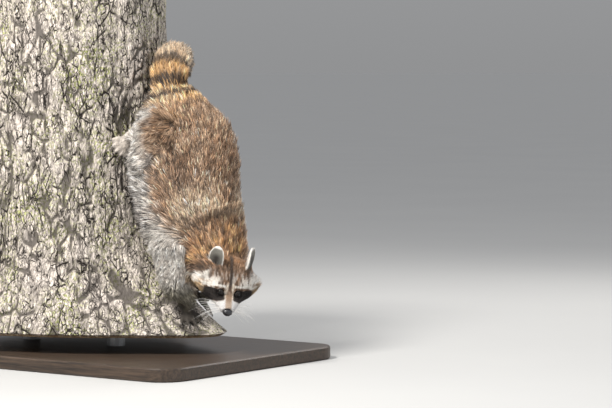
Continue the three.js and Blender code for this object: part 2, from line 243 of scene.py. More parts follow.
@contextmanager
def editing(thing: Object, kind: str = "VERT", chosen: Array | None = None) -> Iterator[None]:
    """Opens an object's mesh in edit mode, and closes it again.

    Args:
        thing: The object.
        kind: Whether vertices, edges or faces are selected: VERT, EDGE or FACE.
        chosen: For each of them whether it is selected; all of them if left out.

    Yields:
        Nothing, while the mesh is open.
    """
    make_active(thing)
    bpy.ops.object.mode_set(mode="EDIT")
    bpy.ops.mesh.select_mode(type=kind)
    bpy.ops.mesh.select_all(action="SELECT" if chosen is None else "DESELECT")
    if chosen is not None:
        bpy.ops.object.mode_set(mode="OBJECT")
        parts = {"VERT": thing.data.vertices, "EDGE": thing.data.edges, "FACE": thing.data.polygons}
        parts[kind].foreach_set("select", chosen)
        bpy.ops.object.mode_set(mode="EDIT")
    yield
    bpy.ops.mesh.select_mode(type="VERT")
    bpy.ops.object.mode_set(mode="OBJECT")


def face_outward(thing: Object) -> None:
    """Turns all faces of a closed piece outward and shades it smooth."""
    with editing(thing):
        bpy.ops.mesh.normals_make_consistent(inside=False)
    bpy.ops.object.shade_smooth()


def dress(thing: Object, material: Material) -> None:
    """Gives an object one material."""
    thing.data.materials.clear()
    thing.data.materials.append(material)


def keep_piece(thing: Object, material: Material, replaced: tuple = ()) -> None:
    """Lets a finished piece ride the display, take its finish and stand for its CAD nodes.

    Args:
        thing: The finished piece.
        material: Its finish.
        replaced: Names of the CAD nodes that it stands for.
    """
    dress(thing, material)
    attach(thing, BODY)
    if replaced:
        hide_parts(*replaced)
    triangles = sum(len(face.vertices) - 2 for face in thing.data.polygons)
    log.info("%s: %d triangles", thing.name, triangles)


def mesh_object(name: str, points: Array, faces: Array) -> Object:
    """Makes an object from points and equal-sided faces.

    Args:
        name: Name of the object and of its mesh.
        points: Vertex places in metres.
        faces: One row of vertex numbers for each face.

    Returns:
        The new object, linked to the scene.
    """
    mesh = bpy.data.meshes.new(name)
    corners = faces.shape[1]
    mesh.vertices.add(len(points))
    mesh.loops.add(faces.size)
    mesh.loops.foreach_set("vertex_index", faces.astype(np.int32).ravel())
    mesh.polygons.add(len(faces))
    mesh.polygons.foreach_set("loop_start", np.arange(0, faces.size, corners, dtype=np.int32))
    mesh.polygons.foreach_set("use_smooth", np.ones(len(faces), dtype=bool))
    write_points(mesh, points)
    mesh.update(calc_edges=True)
    mesh.validate()
    made = bpy.data.objects.new(name, mesh)
    bpy.context.scene.collection.objects.link(made)
    return made


# ---- Node helpers ----


class NodeSheet:
    """A short way to lay out nodes in one material or node group."""

    def __init__(self, tree: NodeTree) -> None:
        """Keeps the tree whose nodes are laid out."""
        self.tree = tree

    def node(self, kind: str, values: dict | None = None, **settings: object) -> Node:
        """Adds a node.

        Args:
            kind: Blender's name of the node type.
            values: An output to link or a constant to set for each input, by name or number.
            **settings: Properties of the node.

        Returns:
            The new node.
        """
        made = self.tree.nodes.new(kind)
        for name, setting in settings.items():
            setattr(made, name, setting)
        for name, value in (values or {}).items():
            socket = made.inputs[name]
            if isinstance(value, NodeSocket):
                self.tree.links.new(value, socket)
            elif socket.type == "RGBA":
                socket.default_value = (*value, 1.0)
            else:
                socket.default_value = value
        return made

    def place(self) -> NodeSocket:
        """Gives the shaded point's place in the piece's own coordinates."""
        return self.node("ShaderNodeTexCoord").outputs["Object"]

    def stored(self, name: str) -> NodeSocket:
        """Gives the number that the mesh stores under `name`."""
        return self.node("ShaderNodeAttribute", attribute_name=name).outputs["Fac"]

    def maths(self, operation: str, first: object, second: object = 0.0) -> NodeSocket:
        """Joins one or two values by a Math node and returns its result."""
        return self.node("ShaderNodeMath", {0: first, 1: second}, operation=operation).outputs[0]

    def scaled(self, value: object, gain: object, offset: object = 0.0) -> NodeSocket:
        """Multiplies a value by `gain` and adds `offset`."""
        values = {0: value, 1: gain, 2: offset}
        return self.node("ShaderNodeMath", values, operation="MULTIPLY_ADD").outputs[0]

    def vector(self, operation: str, values: dict, output: object = 0) -> NodeSocket:
        """Adds a Vector Math node and returns one of its outputs."""
        return self.node("ShaderNodeVectorMath", values, operation=operation).outputs[output]

    def cells(self, where: object, scale: float, output: str, kind: str = "F1") -> NodeSocket:
        """Adds a Voronoi Texture and returns one of its outputs."""
        values = {"Vector": where, "Scale": scale}
        return self.node("ShaderNodeTexVoronoi", values, feature=kind).outputs[output]

    def noise(self, where: object, scale: float, detail: float = 4.0) -> NodeSocket:
        """Adds a Noise Texture and returns its factor."""
        values = {"Vector": where, "Scale": scale, "Detail": detail}
        return self.node("ShaderNodeTexNoise", values).outputs["Fac"]

    def stretch(self, where: object, scale: tuple) -> NodeSocket:
        """Scales coordinates along each axis."""
        return self.node("ShaderNodeMapping", {"Vector": where, "Scale": scale}).outputs[0]

    def between(self, value: object, low: float, high: float) -> NodeSocket:
        """Maps a value so that `low` becomes 0 and `high` becomes 1, clamped."""
        values = {"Value": value, "From Min": low, "From Max": high}
        return self.node("ShaderNodeMapRange", values).outputs[0]

    def mix(self, share: object, first: object, second: object) -> NodeSocket:
        """Mixes two colours, from `first` at share 0 to `second` at share 1."""
        values = {0: share, 6: first, 7: second}
        return self.node("ShaderNodeMix", values, data_type="RGBA", clamp_factor=True).outputs[2]

    def bump(self, height: object, strength: float, distance: float) -> NodeSocket:
        """Turns a height into a normal."""
        values = {"Height": height, "Strength": strength, "Distance": distance}
        return self.node("ShaderNodeBump", values).outputs[0]


# ---- Finishes ----


class SocketKind(Enum):
    """Kinds of socket that a shared effect takes or gives."""

    COLOUR = "NodeSocketColor"
    NUMBER = "NodeSocketFloat"


@dataclass(frozen=True)
class FurTone:
    """Shared effect: breaks up a coat's colour and surface with fine strands."""

    strand: float = 900.0
    blotch: float = 60.0

    def build(self) -> NodeTree:
        """Builds the node group: colour and contrast in, colour and height out."""
        takes = {"Colour": SocketKind.COLOUR, "Contrast": SocketKind.NUMBER}
        gives = {"Colour": SocketKind.COLOUR, "Height": SocketKind.NUMBER}
        group = bpy.data.node_groups.new("fur_tone", "ShaderNodeTree")
        for way, sockets in (("INPUT", takes), ("OUTPUT", gives)):
            for title, kind in sockets.items():
                group.interface.new_socket(title, in_out=way, socket_type=kind.value)
        sheet = NodeSheet(group)
        taken = sheet.node("NodeGroupInput").outputs
        where = sheet.place()
        fine = sheet.noise(where, self.strand, 3.0)
        broad = sheet.noise(where, self.blotch, 3.0)
        both = sheet.scaled(fine, 0.6, sheet.scaled(broad, 0.4))
        gain = sheet.scaled(sheet.maths("SUBTRACT", both, 0.5), taken["Contrast"], 1.0)
        colour = sheet.vector("SCALE", {0: taken["Colour"], "Scale": gain})
        sheet.node("NodeGroupOutput", {"Colour": colour, "Height": fine})
        return group


@dataclass(frozen=True)
class Finish:
    """A procedural finish: each kind lays out what feeds its Principled BSDF."""

    name: str

    def build(self) -> Material:
        """Builds the material."""
        material = bpy.data.materials.new(self.name)
        material.use_nodes = True
        material.node_tree.nodes.clear()
        sheet = NodeSheet(material.node_tree)
        shader = sheet.node("ShaderNodeBsdfPrincipled", self.inputs(sheet))
        sheet.node("ShaderNodeOutputMaterial", {"Surface": shader.outputs[0]})
        return material

    def inputs(self, sheet: NodeSheet) -> dict:
        """Lays out the nodes that feed the shader.

        Args:
            sheet: The material's node sheet.

        Returns:
            An output or a constant for each of the shader's inputs that isn't left alone.
        """
        raise NotImplementedError


@dataclass(frozen=True)
class CoatFinish(Finish):
    """Finish of fur: the markings' colour with strands, a soft sheen and little gloss."""

    tone: NodeTree
    contrast: float = 0.5
    roughness: float = 0.62
    sheen: float = 0.12
    bump: float = 0.0
    strand_height: float = 0.0012

    def inputs(self, sheet: NodeSheet) -> dict:
        """Runs the piece's `tint` through the strand effect."""
        tint = sheet.node("ShaderNodeVertexColor", layer_name="tint").outputs["Color"]
        values = {"Colour": tint, "Contrast": self.contrast}
        strands = sheet.node("ShaderNodeGroup", values, node_tree=self.tone).outputs
        inputs = {
            "Base Color": strands["Colour"],
            "Roughness": self.roughness,
            "Specular IOR Level": 0.35,
            "Sheen Weight": self.sheen,
            "Sheen Roughness": 0.5,
        }
        if self.bump > 0.0:
            inputs["Normal"] = sheet.bump(strands["Height"], self.bump, self.strand_height)
        return inputs


@dataclass(frozen=True)
class LeatherFinish(Finish):
    """Finish of bare skin, such as the nose: dark and pebbled, moist where it has a coat."""

    colour: tuple
    light: tuple
    roughness: float = 0.28
    coat: float = 0.4
    pebble: float = 1500.0
    blotch: float = 180.0
    depth: float = 0.0004

    def inputs(self, sheet: NodeSheet) -> dict:
        """Blotches the colour and pebbles the surface."""
        where = sheet.place()
        blotch = sheet.noise(where, self.blotch)
        return {
            "Base Color": sheet.mix(blotch, self.colour, self.light),
            "Roughness": sheet.scaled(blotch, 0.25, self.roughness - 0.1),
            "Coat Weight": self.coat,
            "Coat Roughness": 0.15,
            "Normal": sheet.bump(sheet.cells(where, self.pebble, "Distance"), 0.5, self.depth),
        }


@dataclass(frozen=True)
class HornFinish(Finish):
    """Finish of a claw or a whisker: smooth horn that turns from its root's colour to its tip's."""

    root: tuple
    tip: tuple
    roughness: float = 0.35
    streak: float = 1200.0

    def inputs(self, sheet: NodeSheet) -> dict:
        """Runs from root to tip by the piece's `along` attribute."""
        streak = sheet.noise(sheet.stretch(sheet.place(), (1.0, 1.0, 0.3)), self.streak)
        share = sheet.scaled(streak, 0.3, sheet.stored("along"))
        return {
            "Base Color": sheet.mix(share, self.root, self.tip),
            "Roughness": sheet.scaled(streak, 0.2, self.roughness - 0.1),
        }


@dataclass(frozen=True)
class EyeFinish(Finish):
    """Finish of the eyeball: a black pupil in a dark brown iris, wet all over."""

    name: str = "wet_eye"
    pupil: tuple = (0.003, 0.003, 0.003)
    iris: tuple = (0.020, 0.009, 0.005)
    white: tuple = (0.02, 0.014, 0.011)
    fibre: float = 1400.0

    def inputs(self, sheet: NodeSheet) -> dict:
        """Rings the eye by the piece's `gaze` attribute."""
        gaze = sheet.stored("gaze")
        iris = sheet.mix(sheet.noise(sheet.place(), self.fibre), self.pupil, self.iris)
        inner = sheet.mix(sheet.between(gaze, 0.42, 0.5), self.pupil, iris)
        outer = sheet.mix(sheet.between(gaze, 0.8, 0.95), inner, self.white)
        return {"Base Color": outer, "Roughness": 0.06, "IOR": 1.376}


@dataclass(frozen=True)
class BarkFinish(Finish):
    """Finish of the trunk: pale grey plates, dark cracks of inner bark and painted shade, and a dusting
    of yellow-green lichen.

    Each of `slits` is the spacing of one size of crack as a texture scale, its width and its strength.
    """

    name: str = "bark"
    plate: tuple = (0.82, 0.73, 0.655)
    plate_dark: tuple = (0.38, 0.33, 0.285)
    # Near-black: the inner bark's colour together with painted shade in the cracks.
    crack: tuple = (0.020, 0.016, 0.014)
    lichen: tuple = (0.42, 0.46, 0.13)
    sapwood: tuple = (0.50, 0.36, 0.21)
    heartwood: tuple = (0.30, 0.18, 0.10)
    ring: float = 620.0
    sway: float = 0.008
    slits: tuple = ((36.0, 0.065, 1.0), (85.0, 0.09, 1.0), (165.0, 0.12, 0.9), (300.0, 0.17, 0.6))

    def inputs(self, sheet: NodeSheet) -> dict:
        """Parts bark from sawn wood by the piece's `sawn` attribute."""
        where = sheet.place()
        grit = sheet.noise(sheet.stretch(where, (1.0, 1.0, 0.5)), 210.0, 8.0)
        bark, height = self.bark(sheet, where, grit)
        return {
            "Base Color": sheet.mix(sheet.stored("sawn"), bark, self.wood(sheet, where, grit)),
            "Roughness": 0.9,
            "Specular IOR Level": 0.2,
            "Normal": sheet.bump(height, 0.8, 0.0022),
        }

    def bark(self, sheet: NodeSheet, where: NodeSocket, grit: NodeSocket) -> tuple:
        """Lays out the plates, the lichen on them and the cracks between them, darkened partly with
        painted shade.

        Args:
            sheet: The material's node sheet.
            where: Place of the shaded point.
            grit: A fine noise.

        Returns:
            The bark's colour and its height.
        """
        wobble = sheet.node("ShaderNodeTexNoise", {"Vector": where, "Scale": 70.0}).outputs["Color"]
        bent = sheet.vector("MULTIPLY_ADD", {0: wobble, 1: (self.sway,) * 3, 2: where})
        tall = sheet.stretch(bent, (1.0, 1.0, 0.32))
        scale = sheet.cells(tall, 85.0, "Color")
        tone = sheet.node("ShaderNodeSeparateColor", {0: scale}).outputs[0]
        tone = sheet.scaled(tone, 0.30, sheet.scaled(grit, 1.1))
        plate = sheet.mix(sheet.between(tone, 0.30, 0.75), self.plate_dark, self.plate)
        patch = sheet.between(sheet.noise(where, 11.0, 3.0), 0.38, 0.62)
        speck = sheet.between(sheet.noise(where, 190.0), 0.50, 0.57)
        plate = sheet.mix(sheet.scaled(sheet.scaled(patch, speck), 0.8), plate, self.lichen)
        # Darkens where the geometry's cracks are deep and along finer slits: inner bark colour with
        # painted shade.
        dark = sheet.scaled(sheet.between(sheet.stored("crack"), 0.3, 0.85), 0.85)
        for spacing, width, strength in self.slits:
            edge = sheet.cells(tall, spacing, "Distance", "DISTANCE_TO_EDGE")
            open_here = sheet.between(sheet.noise(tall, spacing * 0.7, 2.0), 0.42, 0.56)
            slit = sheet.scaled(sheet.between(edge, width, width * 0.25), open_here)
            dark = sheet.maths("MAXIMUM", dark, sheet.scaled(slit, strength))
        height = sheet.scaled(dark, -1.5, sheet.maths("ADD", grit, tone))
        return sheet.mix(dark, plate, self.crack), height

    def wood(self, sheet: NodeSheet, where: NodeSocket, grit: NodeSocket) -> NodeSocket:
        """Lays out the year rings of the sawn ends.

        Args:
            sheet: The material's node sheet.
            where: Place of the shaded point.
            grit: A fine noise.

        Returns:
            The wood's colour.
        """
        axis = tuple(-value for value in TRUNK_ORIGIN)
        centred = sheet.node("ShaderNodeMapping", {"Vector": where, "Location": axis}).outputs[0]
        flat = sheet.vector("MULTIPLY", {0: centred, 1: (1.0, 1.0, 0.0)})
        reach = sheet.vector("LENGTH", {0: flat}, "Value")
        reach = sheet.scaled(sheet.noise(where, 9.0, 3.0), 0.02, reach)
        rings = sheet.maths("SINE", sheet.scaled(reach, self.ring))
        wood = sheet.mix(sheet.between(rings, -1.0, 1.0), self.heartwood, self.sapwood)
        return sheet.mix(sheet.between(grit, 0.45, 0.75), wood, self.sapwood)


@dataclass(frozen=True)
class BoardFinish(Finish):
    """Finish of the base: dark stained oak under satin varnish."""

    name: str = "stained_board"
    dark: tuple = (0.022, 0.015, 0.011)
    light: tuple = (0.085, 0.055, 0.036)

    def inputs(self, sheet: NodeSheet) -> dict:
        """Draws the grain and the pores along the board."""
        where = sheet.place()
        grain = sheet.noise(sheet.stretch(where, (1.2, 22.0, 22.0)), 9.0, 8.0)
        pores = sheet.noise(sheet.stretch(where, (6.0, 160.0, 160.0)), 5.0)
        wood = sheet.mix(sheet.between(grain, 0.3, 0.7), self.dark, self.light)
        return {
            "Base Color": sheet.mix(sheet.between(pores, 0.42, 0.34), wood, self.dark),
            "Roughness": sheet.scaled(grain, 0.25, 0.3),
            "Normal": sheet.bump(pores, 0.25, 0.0005),
        }


@dataclass(frozen=True)
class SteelFinish(Finish):
    """Finish of the rods: brushed steel with a little handling wear."""

    name: str = "brushed_steel"
    colour: tuple = (0.50, 0.51, 0.52)
    dull: tuple = (0.34, 0.34, 0.345)

    def inputs(self, sheet: NodeSheet) -> dict:
        """Brushes the steel round the rods."""
        brush = sheet.noise(sheet.stretch(sheet.place(), (4.0, 4.0, 260.0)), 12.0, 3.0)
        return {
            "Base Color": sheet.mix(brush, self.dull, self.colour),
            "Metallic": 1.0,
            "Roughness": sheet.scaled(brush, 0.3, 0.2),
        }


@dataclass(frozen=True)
class FloorFinish(Finish):
    """Finish of the studio's floor: matt and pale, with faint clouds."""

    name: str = "studio_floor"
    dark: tuple = (0.50, 0.50, 0.495)
    light: tuple = (0.54, 0.54, 0.53)

    def inputs(self, sheet: NodeSheet) -> dict:
        """Clouds the floor's colour."""
        clouds = sheet.noise(sheet.place(), 1.5)
        return {"Base Color": sheet.mix(clouds, self.dark, self.light), "Roughness": 0.95}


# ---- Form of the trunk ----


@dataclass(frozen=True)
class TrunkForm:
    """The bark's surface as a distance from the trunk's axis, in millimetres of the trunk's frame.

    Each root is its compass angle, how far it reaches out at the foot and its width in degrees.
    """

    radius: float = 230.0
    foot: float = 22.0
    height: float = 812.0
    taper: float = 10.0
    flare_height: float = 300.0
    flare_power: float = 2.1
    flare_base: float = 12.0
    ripple: float = 3.5
    ripples: int = 11
    ripple_twist: float = 90.0
    roots: tuple = (
        (0.0, 238.0, 27.0), (72.0, 70.0, 26.0), (140.0, 55.0, 30.0),
        (205.0, 50.0, 24.0), (262.0, 62.0, 28.0), (312.0, 50.0, 20.0),
    )

    def bark_radius(self, angle: Array, height: Array) -> Array:
        """Distance from the axis to the bark at a compass angle (radians) and a height."""
        low = np.maximum(0.0, 1.0 - height / self.flare_height) ** self.flare_power
        flare = self.flare_base
        for root_angle, reach, width in self.roots:
            away = (angle - math.radians(root_angle) + math.pi) % (2 * math.pi) - math.pi
            flare = flare + reach * np.exp(-((away / math.radians(width)) ** 2))
        ripple = self.ripple * np.cos(self.ripples * angle + height / self.ripple_twist)
        return self.radius - self.taper * height / self.height + flare * low + ripple

    def bark_point(self, angle: Array, height: Array) -> Array:
        """Place of the bark at a compass angle and a height, in millimetres."""
        reach = self.bark_radius(angle, height)
        return np.stack([reach * np.cos(angle), reach * np.sin(angle), height + 0.0 * angle], axis=-1)

    def bark_normal(self, angle: float, height: float) -> Array:
        """Direction straight out of the bark at a compass angle and a height."""
        turn, rise = 0.02, 4.0
        along = self.bark_point(angle + turn, height) - self.bark_point(angle - turn, height)
        upward = self.bark_point(angle, height + rise) - self.bark_point(angle, height - rise)
        return unit(np.cross(along, upward))

    def above_bark(self, place: Array, lift: float) -> Array:
        """The point `lift` above the bark that is nearest to a place beside the trunk."""
        angle = math.atan2(place[1], place[0])
        return self.bark_point(angle, place[2]) + lift * self.bark_normal(angle, place[2])

    def measure(self, points: Array) -> tuple:
        """Turns places into compass angles, distances from the axis and heights, in millimetres."""
        across, deep, height = np.moveaxis((points - TRUNK_ORIGIN) / MM, -1, 0)
        return np.arctan2(deep, across), np.hypot(across, deep), height

    def clear_of_bark(self, points: Array, margin: float) -> Array:
        """Pushes points that would lie inside the trunk out to just above the bark.

        Args:
            points: Places in metres of the display's frame.
            margin: Least distance above the bark in millimetres.

        Returns:
            The places, moved where that is needed.
        """
        angle, reach, height = self.measure(points)
        least = self.bark_radius(angle, np.clip(height, 0.0, None)) + margin
        least = np.where(height > self.height + margin, 0.0, least)
        factor = np.maximum(1.0, least / np.maximum(reach, 1.0))
        spread = np.stack([factor, factor, np.ones(len(factor))], axis=1)
        return TRUNK_ORIGIN + (points - TRUNK_ORIGIN) * spread


TRUNK = TrunkForm()


# ---- Form of the animal ----


@dataclass(frozen=True)
class HeadForm:
    """The head's own axes, with places given as (behind the nose's tip, left, above) in mm."""

    turn: float = -51.0
    nod: float = 58.0
    tip: float = 13.0
    nose_tip: tuple = (496.0, -53.0, 79.0)
    eye_behind: float = 46.0
    eye_apart: float = 39.0
    eye_above: float = 17.2
    ear_right: tuple = (101.0, -35.5, 34.0)
    ear_left: tuple = (106.0, 39.5, 34.0)
    ear_half_width: float = 20.0
    ear_back: float = 0.59
    ear_open_right: float = 0.45
    ear_open_left: float = 1.5

    @property
    def axes(self) -> Array:
        """Rows `face` (out of the nose), `cheek` (to the left) and `crown` (out of the skull)."""
        turn, nod, tip = (math.radians(a) for a in (self.turn, self.nod, self.tip))
        ahead = np.array([math.cos(turn), math.sin(turn), 0.0])
        face = ahead * math.cos(nod) - WORLD_UP * math.sin(nod)
        level = np.array([-math.sin(turn), math.cos(turn), 0.0])
        crown = np.cross(face, level) * math.cos(tip) + level * math.sin(tip)
        return np.stack([face, np.cross(crown, face), crown])

    def place(self, behind: object, left: object, above: object) -> Array:
        """Turns head places into metres of the display's frame."""
        parts = np.stack(np.broadcast_arrays(-np.asarray(behind, float), left, above), axis=-1)
        return from_trunk(np.array(self.nose_tip) + parts @ self.axes)

    def measure(self, points: Array) -> Array:
        """Turns places in the display's frame into rows (behind, left, above)."""
        local = (points - from_trunk(self.nose_tip)) / MM @ self.axes.T
        local[:, 0] *= -1.0
        return local

    def direction(self, forward: object, left: object, up: object) -> Array:
        """Turns a direction told in the head's axes into the display's frame."""
        return np.stack(np.broadcast_arrays(forward, left, up), axis=-1) @ self.axes

    def eye_centre(self, side: int) -> Array:
        """Middle of one eyeball."""
        return self.place(self.eye_behind, side * self.eye_apart / 2, self.eye_above)

    def gaze(self, side: int) -> Array:
        """Direction in which one eye looks."""
        return unit(self.direction(0.70, side * 0.42, 0.60))

    def around_eye(self, points: Array, side: int) -> tuple:
        """Measures points from one eye.

        Args:
            points: Places in metres.
            side: Side of the eye.

        Returns:
            How far each lies ahead of the eye's middle, and how far off its line of sight.
        """
        gaze = self.gaze(side)
        offset = points - self.eye_centre(side)
        ahead = offset @ gaze
        return ahead, np.linalg.norm(offset - ahead[..., None] * gaze, axis=-1)

    def ear_base(self, side: int) -> Array:
        """Middle of one ear where it leaves the skull."""
        return self.place(*(self.ear_left if side == LEFT else self.ear_right))

    def ear_rise(self) -> Array:
        """Direction from an ear's base to its tip."""
        return unit(self.direction(-self.ear_back, 0.0, 1.0))

    def ear_front(self, side: int) -> Array:
        """Direction that the hollow of one ear faces."""
        rise = self.ear_rise()
        facing = self.direction(1.0, self.ear_open_left if side == LEFT else -self.ear_open_right, 0.0)
        return unit(facing - rise * (facing @ rise))


HEAD = HeadForm()


@dataclass(frozen=True)
class SpineForm:
    """The line from the tail's tip to the skull, with the side that the back faces.

    A place on it is a key number: the tail is 0 to 9, the torso 9 to 17 and the neck 17 to 21.
    """

    roll: float = 15.0
    tail: tuple = (
        (596, 48, 241), (605, 42.5, 247), (620, 34.5, 254),
        (634, 26, 259), (643, 17.5, 265), (644, 10, 273),
        (634, 4.5, 281), (613, 1.4, 288), (590, 0, 294),
    )
    torso: tuple = (
        (566, 300), (545, 306), (515, 313), (480, 321), (440, 328),
        (395, 334), (345, 342), (295, 355), (252, 373),
    )
    neck: tuple = (
        ((394, -1, 224), (0.9, -0.29, 0.2)),
        ((422, -8, 196), (0.82, -0.36, 0.4)),
        ((443, -16, 172), (0.75, -0.43, 0.5)),
    )
    steps: int = 12
    block: int = 20000

    def samples(self) -> tuple:
        """Samples the line.

        Returns:
            Key numbers, places in metres, headward directions and dorsal directions.
        """
        places, ups = [], []
        for height, angle, distance in self.tail:
            turn = math.radians(angle)
            places.append((distance * math.cos(turn), distance * math.sin(turn), height))
            ups.append((math.cos(turn), math.sin(turn), 0.0))
        back = (math.cos(math.radians(self.roll)), -math.sin(math.radians(self.roll)), 0.0)
        for height, distance in self.torso:
            places.append((distance, 0.0, height))
            ups.append(back)
        for place, up in self.neck:
            places.append(place)
            ups.append(up)
        places.append(tuple((HEAD.place(84.0, 0.0, -4.0) - TRUNK_ORIGIN) / MM))
        ups.append(tuple(HEAD.axes[2]))
        line = from_trunk(curve_through(np.array(places, dtype=float), self.steps))
        headward = unit(np.gradient(line, axis=0))
        dorsal = curve_through(np.array(ups, dtype=float), self.steps)
        dorsal = unit(dorsal - headward * (dorsal * headward).sum(axis=1, keepdims=True))
        return np.arange(len(line)) / self.steps, line, headward, dorsal

    def measure(self, points: Array) -> dict:
        """Finds where points lie round the spine.

        Args:
            points: Places in metres.

        Returns:
            `key`, `turn` (radians from the dorsal line, + to the left), `distance`, `headward`,
            `dorsal` and `left`, one entry for each point.
        """
        key, line, headward, dorsal = self.samples()
        nearest = np.empty(len(points), dtype=np.int64)
        for start in range(0, len(points), self.block):
            part = points[start : start + self.block]
            square = (part**2).sum(axis=1)[:, None] - 2 * part @ line.T + (line**2).sum(axis=1)
            nearest[start : start + self.block] = square.argmin(axis=1)
        along = headward[nearest]
        offset = points - line[nearest]
        ahead = (offset * along).sum(axis=1)
        spacing = np.linalg.norm(np.gradient(line, axis=0), axis=1)[nearest]
        fine = np.clip(key[nearest] + np.clip(ahead / spacing, -0.5, 0.5) / self.steps, 0.0, key[-1])
        offset = offset - along * ahead[:, None]
        left = np.cross(dorsal[nearest], along)
        turn = np.arctan2((offset * left).sum(axis=1), (offset * dorsal[nearest]).sum(axis=1))
        distance = np.linalg.norm(offset, axis=1)
        return {
            "key": fine,
            "turn": turn,
            "distance": distance,
            "headward": along,
            "dorsal": dorsal[nearest],
            "left": left,
        }


SPINE = SpineForm()


class Region(Enum):
    """Parts of the flesh that keep their own coat."""

    TAIL = 0
    TORSO = 1
    NECK = 2
    HEAD = 3
    FORELEG = 4
    HINDLEG = 5
    FOREPAW = 6
    HINDFOOT = 7
    EAR = 8


LIMBS = ("foreleg", "hindleg", "forepaw", "hindfoot", "ear")
FLESH_NODES = (
    *("tail_tip", "tail_middle", "tail_base", "torso", "neck", "head"),
    *(f"{limb}_{side}" for limb in LIMBS for side in ("right", "left")),
)


@dataclass(frozen=True)
class LegForm:
    """Joints of one leg from the body outwards, in millimetres of the trunk's frame."""

    joints: tuple
    trunkward: tuple

    def flow(self, points: Array) -> Array:
        """Direction in which the leg's hair lies at each point.

        Args:
            points: Places in metres.

        Returns:
            One direction for each point, not yet laid on the skin.
        """
        joints = [from_trunk(joint) for joint in self.joints]
        best = np.full(len(points), np.inf)
        flow = np.zeros((len(points), 3))
        for start, end, pull in zip(joints[:-1], joints[1:], self.trunkward):
            along = end - start
            part = np.clip((points - start) @ along / (along @ along), 0.0, 1.0)
            away = np.linalg.norm(points - start - part[:, None] * along, axis=1)
            nearer = away < best
            best = np.where(nearer, away, best)
            lie = unit(along) + np.array([-pull, 0.0, 0.0])
            flow[nearer] = unit(lie)
        return flow


@dataclass(frozen=True)
class PawForm:
    """How one kind of paw is laid out on the bark, in millimetres and degrees."""

    toe: float
    toe_radius: float
    spread: float
    fan: float
    claw: float = 12.0
    shorter: float = 2.2
    toe_start: float = 2.0


@dataclass(frozen=True)
class PawPlace:
    """Where one paw's toes start on the bark and where they point."""

    form: PawForm
    side: int
    angle: float
    height: float
    turn: float

    def direction(self, extra: float) -> Array:
        """Direction along the bark, `extra` radians off the paw's own."""
        normal = TRUNK.bark_normal(math.radians(self.angle), self.height)
        around = unit(np.cross(WORLD_UP, normal))
        down = unit(np.cross(around, normal))
        turn = math.radians(self.turn) * self.side + extra
        return down * math.cos(turn) + around * math.sin(turn)

    def on_bark(self, toe: int, distance: float, lift: float) -> Array:
        """A place along one toe.

        Args:
            toe: Number of the toe, -2 to 2.
            distance: How far from the toes' start, in millimetres.
            lift: Height above the bark in millimetres.

        Returns:
            The place in millimetres of the trunk's frame.
        """
        start = TRUNK.bark_point(math.radians(self.angle), self.height)
        bend = math.radians(toe * self.form.spread)
        away = start + self.direction(bend) * distance
        away = away + self.direction(math.pi / 2) * toe * self.form.fan
        return TRUNK.above_bark(away, lift)

    def reach(self, toe: int) -> float:
        """Length of one toe without its claw."""
        return self.form.toe - self.form.shorter * toe * toe


FORE = PawForm(toe=29.0, toe_radius=5.4, spread=16.0, fan=6.8)
HIND = PawForm(toe=26.0, toe_radius=6.0, spread=13.0, fan=7.6)
PAWS = {
    "forepaw_right": PawPlace(FORE, RIGHT, -6.0, 67.0, -14.0),
    "forepaw_left": PawPlace(FORE, LEFT, 10.2, 86.0, -2.0),
    "hindfoot_right": PawPlace(HIND, RIGHT, -19.3, 456.0, 50.0),
    "hindfoot_left": PawPlace(HIND, LEFT, 19.3, 456.0, 50.0),
}
LEGS = {
    "foreleg_right": LegForm(((362, -74, 262), (368, -77, 152), (388, -48, 99)), (0.45, 0.0)),
    "foreleg_left": LegForm(((362, 72, 262), (352, 78, 156), (352, 64, 110)), (0.45, 0.0)),
    "hindleg_right": LegForm(((330, -80, 492), (308, -106, 424), (254, -60, 476)), (1.0, 0.2)),
    "hindleg_left": LegForm(((312, 80, 492), (290, 112, 424), (254, 60, 476)), (1.0, 0.2)),
}


# ---- Anatomy of a set of points ----


